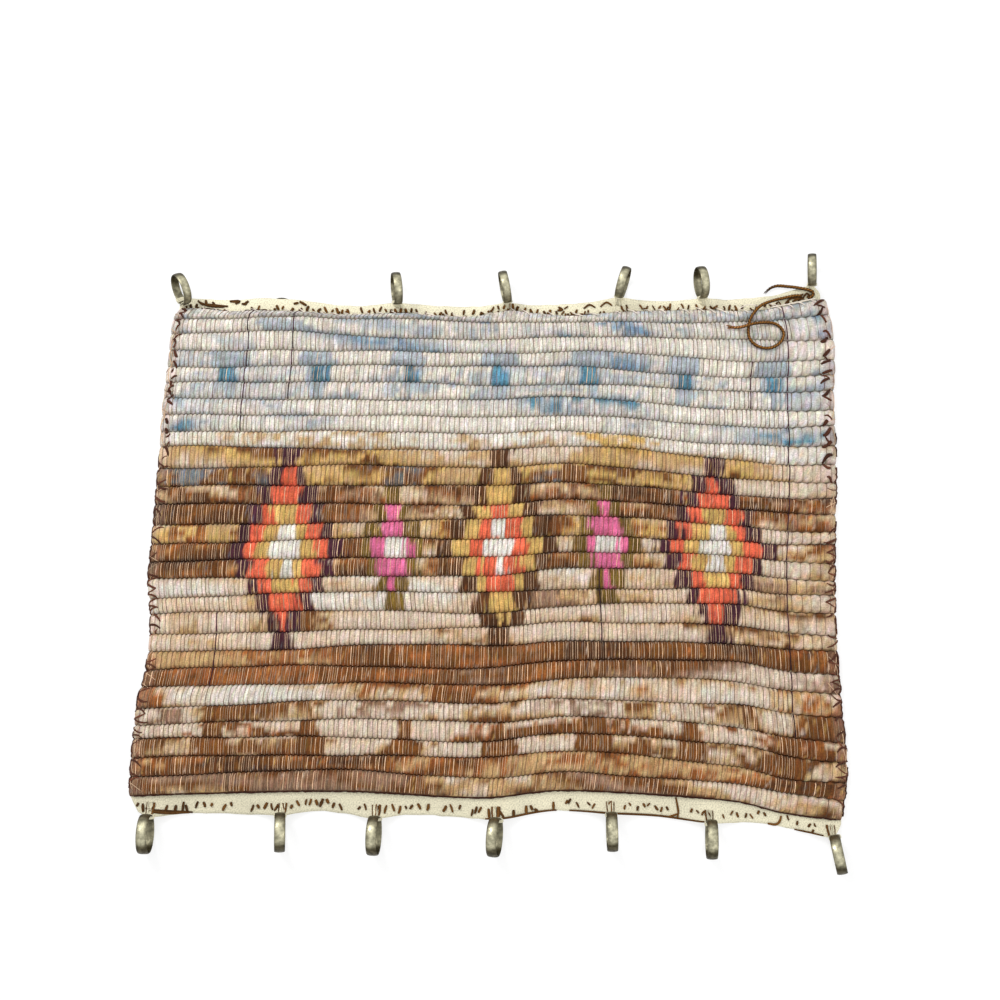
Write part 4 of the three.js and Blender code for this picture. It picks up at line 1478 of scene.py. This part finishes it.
LOWER_RUNS = (
    ((-337, 6.5), (-328, 5.5), (-318, 4), (-306, 2), (-293, 0.6)),
    ((-333, 4.5), (-322, 3), (-310, 1.5), (-296, 0.7)),
    ((-331, 5), (-330, 9)), ((-319, 3), (-317, 9.5)), ((-310, 2), (-309, 8.5)),
    ((-303, 1), (-302, 11)), ((-298, 1), (-300, 8)),
    ((-14, 0.3), (-4, 0.2), (10, 0.3), (26, 0.6), (42, 0.5), (54, 0.6)),
    ((-10, 0.5), (-11, 9.5)), ((4, 0.5), (-2, 9.5)), ((13, 0.5), (13, 6.5)),
    ((25, 0.5), (25, 8.5)), ((31, 3), (29, 8)), ((51, 0.5), (51, 8.5)), ((36, 1), (33, 4)),
    ((66, 0.4), (90, 0.5), (118, 0.4), (150, 0.6), (172, 0.5), (196, 0.4)),
    ((169, 0.5), (170, 7), (169, 14), (168, 20)), ((160, 0.6), (166, 3), (170, 5)),
    ((255, 0.3), (262, 0.6), (266, 4), (268, 10)), ((280, 0.2), (292, 0.5), (306, 0.2)),
    ((296, 0.5), (298, 4)),
)
# Where those runs leave no room for the short stitches: x from and to.
TAKEN = {
    1: ((-312, -255), (84, 118), (294, 316)),
    -1: ((-340, -290), (-16, 56), (164, 174), (252, 270)),
}
DARKER_BEFORE = -285    # the brown yarn is darker to the left of this x


def share_at(x):
    """The share across the cloth at an x near its upper or lower edge."""
    return min(max((x + 335) / 665, 0), 1)


def sewn(points, outward, above=0.7):
    """A smooth stitch that lies on a tape, through points of x and how far in."""
    line, _ = finer([(x, inward, 0.0) for x, inward in points], 1.2)
    return tape_point(line[:, 0], line[:, 1], outward, above)


class TAPESTRY_OT_tape_stitches(bpy.types.Operator):
    """Stitch both tapes down with short brown stitches and longer runs"""

    bl_idname = "tapestry.tape_stitches"
    bl_label = "Tape stitches"

    def execute(self, context):
        sizes, dyes = context.scene.tapestry_sizes, context.scene.tapestry_dyes
        rng = np.random.default_rng(SEED + 7)
        brown = [sewn(run, 1) for run in UPPER_RUNS] + [sewn(run, -1) for run in LOWER_RUNS]
        for outward, edge, cloth_edge in (
            (1, UPPER_TAPE, UPPER_EDGE), (-1, LOWER_TAPE, LOWER_EDGE),
        ):
            x = edge[0][0] + 8
            lean = -1.0
            while x < edge[-1][0] - 8:
                across = share_at(x)
                shown = outward * float(line_through(edge, x) - line_through(cloth_edge, across))
                free = all(not low < x < high for low, high in TAKEN[outward])
                if free and rng.random() < 0.85:
                    if outward > 0:
                        start = shown + float(line_through(UPPER_INSET, across))
                        start -= rng.uniform(0.8, 2.6)
                        end = max(start - rng.uniform(3.0, 6.0), 0.9)
                    else:
                        start = min(rng.uniform(8, 12), shown - 1)
                        end = start - (rng.uniform(3, 8) if x < 60 else rng.uniform(2.5, 5))
                    shift = lean * rng.uniform(0.8, 3.2)
                    bend = rng.uniform(-0.5, 0.5)
                    middle = (x + shift / 2 + bend, (start + end) / 2)
                    brown.append(sewn(((x, start), middle, (x + shift, end)), outward))
                x += rng.uniform(3, 5) if lean < 0 else rng.uniform(6.5, 11)
                lean = -lean if rng.random() < 0.9 else lean
        for x in np.sort(rng.uniform(-322, 300, 70)):
            across = share_at(x)
            edge = float(line_through(UPPER_TAPE, x) - line_through(UPPER_EDGE, across))
            start = edge + float(line_through(UPPER_INSET, across)) + rng.uniform(-2.4, 0.8)
            length, lean = rng.uniform(2.0, 4.6), rng.uniform(-1.0, 1.0)
            end = (x + length * lean, start - length * (1 - abs(lean)))
            brown.append(sewn(((x, start), end), 1, 1.1))
        radii = []
        for path in brown:
            thick = rng.uniform(0.8, 1.2) * (0.8 if path[0, 0] > 60 else 1)
            swell = np.sin(np.linspace(0.2, np.pi - 0.2, len(path)))
            radii.append(thick * (0.7 + 0.4 * swell))
        tones = []
        for path in brown:
            darkened = path[0, 0] < DARKER_BEFORE
            tones.append(rng.uniform(0.45, 0.8) if darkened else rng.uniform(0.6, 1.3))
        sew("tape_stitches", yarn_material(), sizes.stitch_thickness, dyes.yarn,
            Threads(brown, radii, tones), rng)
        return {"FINISHED"}


# The ties of the lower rings: share of brown strands, thickness of the brown strand at the left and at
# the right of the tie, which is brown yarn at some ties and painted shadow beside the bar at others.
LOWER_TIES = (
    (0.1, 0.4, 1.1), (0.0, 0.6, 0.8), (0.3, 0.5, 1.4), (0.75, 1.1, 1.1), (0.15, 0.5, 0.5),
    (0.0, 0.9, 0.5), (0.1, 1.3, 0.5),
)


class TAPESTRY_OT_ring_ties(bpy.types.Operator):
    """Tie each ring to its tape with cotton thread that loops round the ring's band"""

    bl_idname = "tapestry.ring_ties"
    bl_label = "Ring ties"

    def execute(self, context):
        sizes, dyes = context.scene.tapestry_sizes, context.scene.tapestry_dyes
        rng = np.random.default_rng(SEED + 8)
        cotton, brown = Threads(), Threads()
        turn = np.linspace(0, 2 * np.pi, 17)
        for outward, prefix, rows, _, size in RING_ROWS:
            for number, (x, overlap) in enumerate(rows, 1):
                if overlap is None:
                    continue
                middle, axis = ring_place(f"{prefix}{number}")
                seat = SEATS[outward][number - 1]
                spot = np.array((x, seat["edge_y"], seat["contact"])) + SHIFT
                inner = spot - middle
                inner -= axis * inner.dot(axis)
                inner /= np.linalg.norm(inner)
                along = np.cross(axis, inner)
                along *= np.sign(along[2])
                band = (size["outer"] + size["inner"]) / 4
                packed = 1.02 * sizes.cotton_thickness / MM / band
                angles = (np.arange(5) - 2) * packed
                if overlap > 8:
                    angles = np.r_[angles, 5.5 * packed, 10 * packed]
                for angle in angles:
                    out = inner * math.cos(angle) + along * math.sin(angle)
                    skew = rng.uniform(-0.25, 0.25) if abs(angle) < 3 * packed else 1.5
                    round_it = (
                        middle + out * (band + 1.3 * np.sin(turn))[:, None]
                        + axis * (size["width"] / 2 + 0.5) * np.cos(turn)[:, None]
                        + along * (skew * np.cos(turn))[:, None]
                    )
                    cotton.add(round_it - SHIFT, tone=rng.uniform(0.7, 0.95))
                share, left, right = LOWER_TIES[number - 1] if outward < 0 else (0.1, 0.0, 0.0)
                reach = rng.uniform(10.5, 13) if outward < 0 or overlap > 8 else rng.uniform(5, 7)
                f = np.linspace(0, 1, 9)
                for offset in np.linspace(-2.0, 2.0, 5):
                    inward = (reach + rng.uniform(-0.8, 0.8)) * (1 - f) - 0.4 * f
                    sway = offset * (1.15 - 0.3 * f) + 0.25 * np.sin(f * 5 + rng.uniform(0, 6))
                    line = tape_point(x + sway, inward, outward, 0.8 + 0.5 * np.sin(np.pi * f / 2))
                    line[0, 2] -= 0.8
                    if rng.random() < share:
                        brown.add(line, 0.6, rng.uniform(0.7, 2.6))
                    else:
                        cotton.add(line, tone=rng.uniform(0.6, 1.0))
                # Brown strands beside the bar: the yarn's legs at some ties, painted shadow along the
                # bar's sides at others.
                for way, thick in ((-1, left), (1, right)):
                    if thick > 0:
                        leg = [(x + way * 3.6, reach), (x + way * 3.4, reach / 2), (x + way * 2.6, 0.4)]
                        line = sewn(leg, outward, 0.9)
                        brown.add(line, thick * rng.uniform(0.75, 1.1, len(line)),
                                  rng.uniform(0.8, 1.2))
        sew("ring_ties", thread_material(), sizes.cotton_thickness, dyes.cotton,
            cotton, rng)
        sew("ring_tie_yarn", yarn_material(), sizes.stitch_thickness * 0.8,
            dyes.yarn, brown, rng)
        return {"FINISHED"}


OPERATORS = (
    TAPESTRY_OT_stage,
    TAPESTRY_OT_yarn_ends,
    TAPESTRY_OT_cloth,
    TAPESTRY_OT_warp,
    TAPESTRY_OT_tapes,
    TAPESTRY_OT_rings,
    TAPESTRY_OT_edge_stitches,
    TAPESTRY_OT_tape_stitches,
    TAPESTRY_OT_ring_ties,
)


class TAPESTRY_PT_panel(bpy.types.Panel):
    """Lists the pieces of the tapestry"""

    bl_idname = "TAPESTRY_PT_panel"
    bl_label = "Woven Tapestry"
    bl_space_type = "VIEW_3D"
    bl_region_type = "UI"
    bl_category = "Tapestry"

    def draw(self, context):
        for operator in OPERATORS:
            self.layout.operator(operator.bl_idname)


CLASSES = (TapestrySizes, TapestryDyes, *OPERATORS, TAPESTRY_PT_panel)


def register():
    for item in CLASSES:
        bpy.utils.register_class(item)
    bpy.types.Scene.tapestry_sizes = PointerProperty(type=TapestrySizes)
    bpy.types.Scene.tapestry_dyes = PointerProperty(type=TapestryDyes)


def unregister():
    del bpy.types.Scene.tapestry_dyes
    del bpy.types.Scene.tapestry_sizes
    for item in reversed(CLASSES):
        bpy.utils.unregister_class(item)


def main():
    register()
    for operator in OPERATORS:
        group, name = operator.bl_idname.split(".")
        getattr(getattr(bpy.ops, group), name)()


if __name__ == "__main__":
    main()
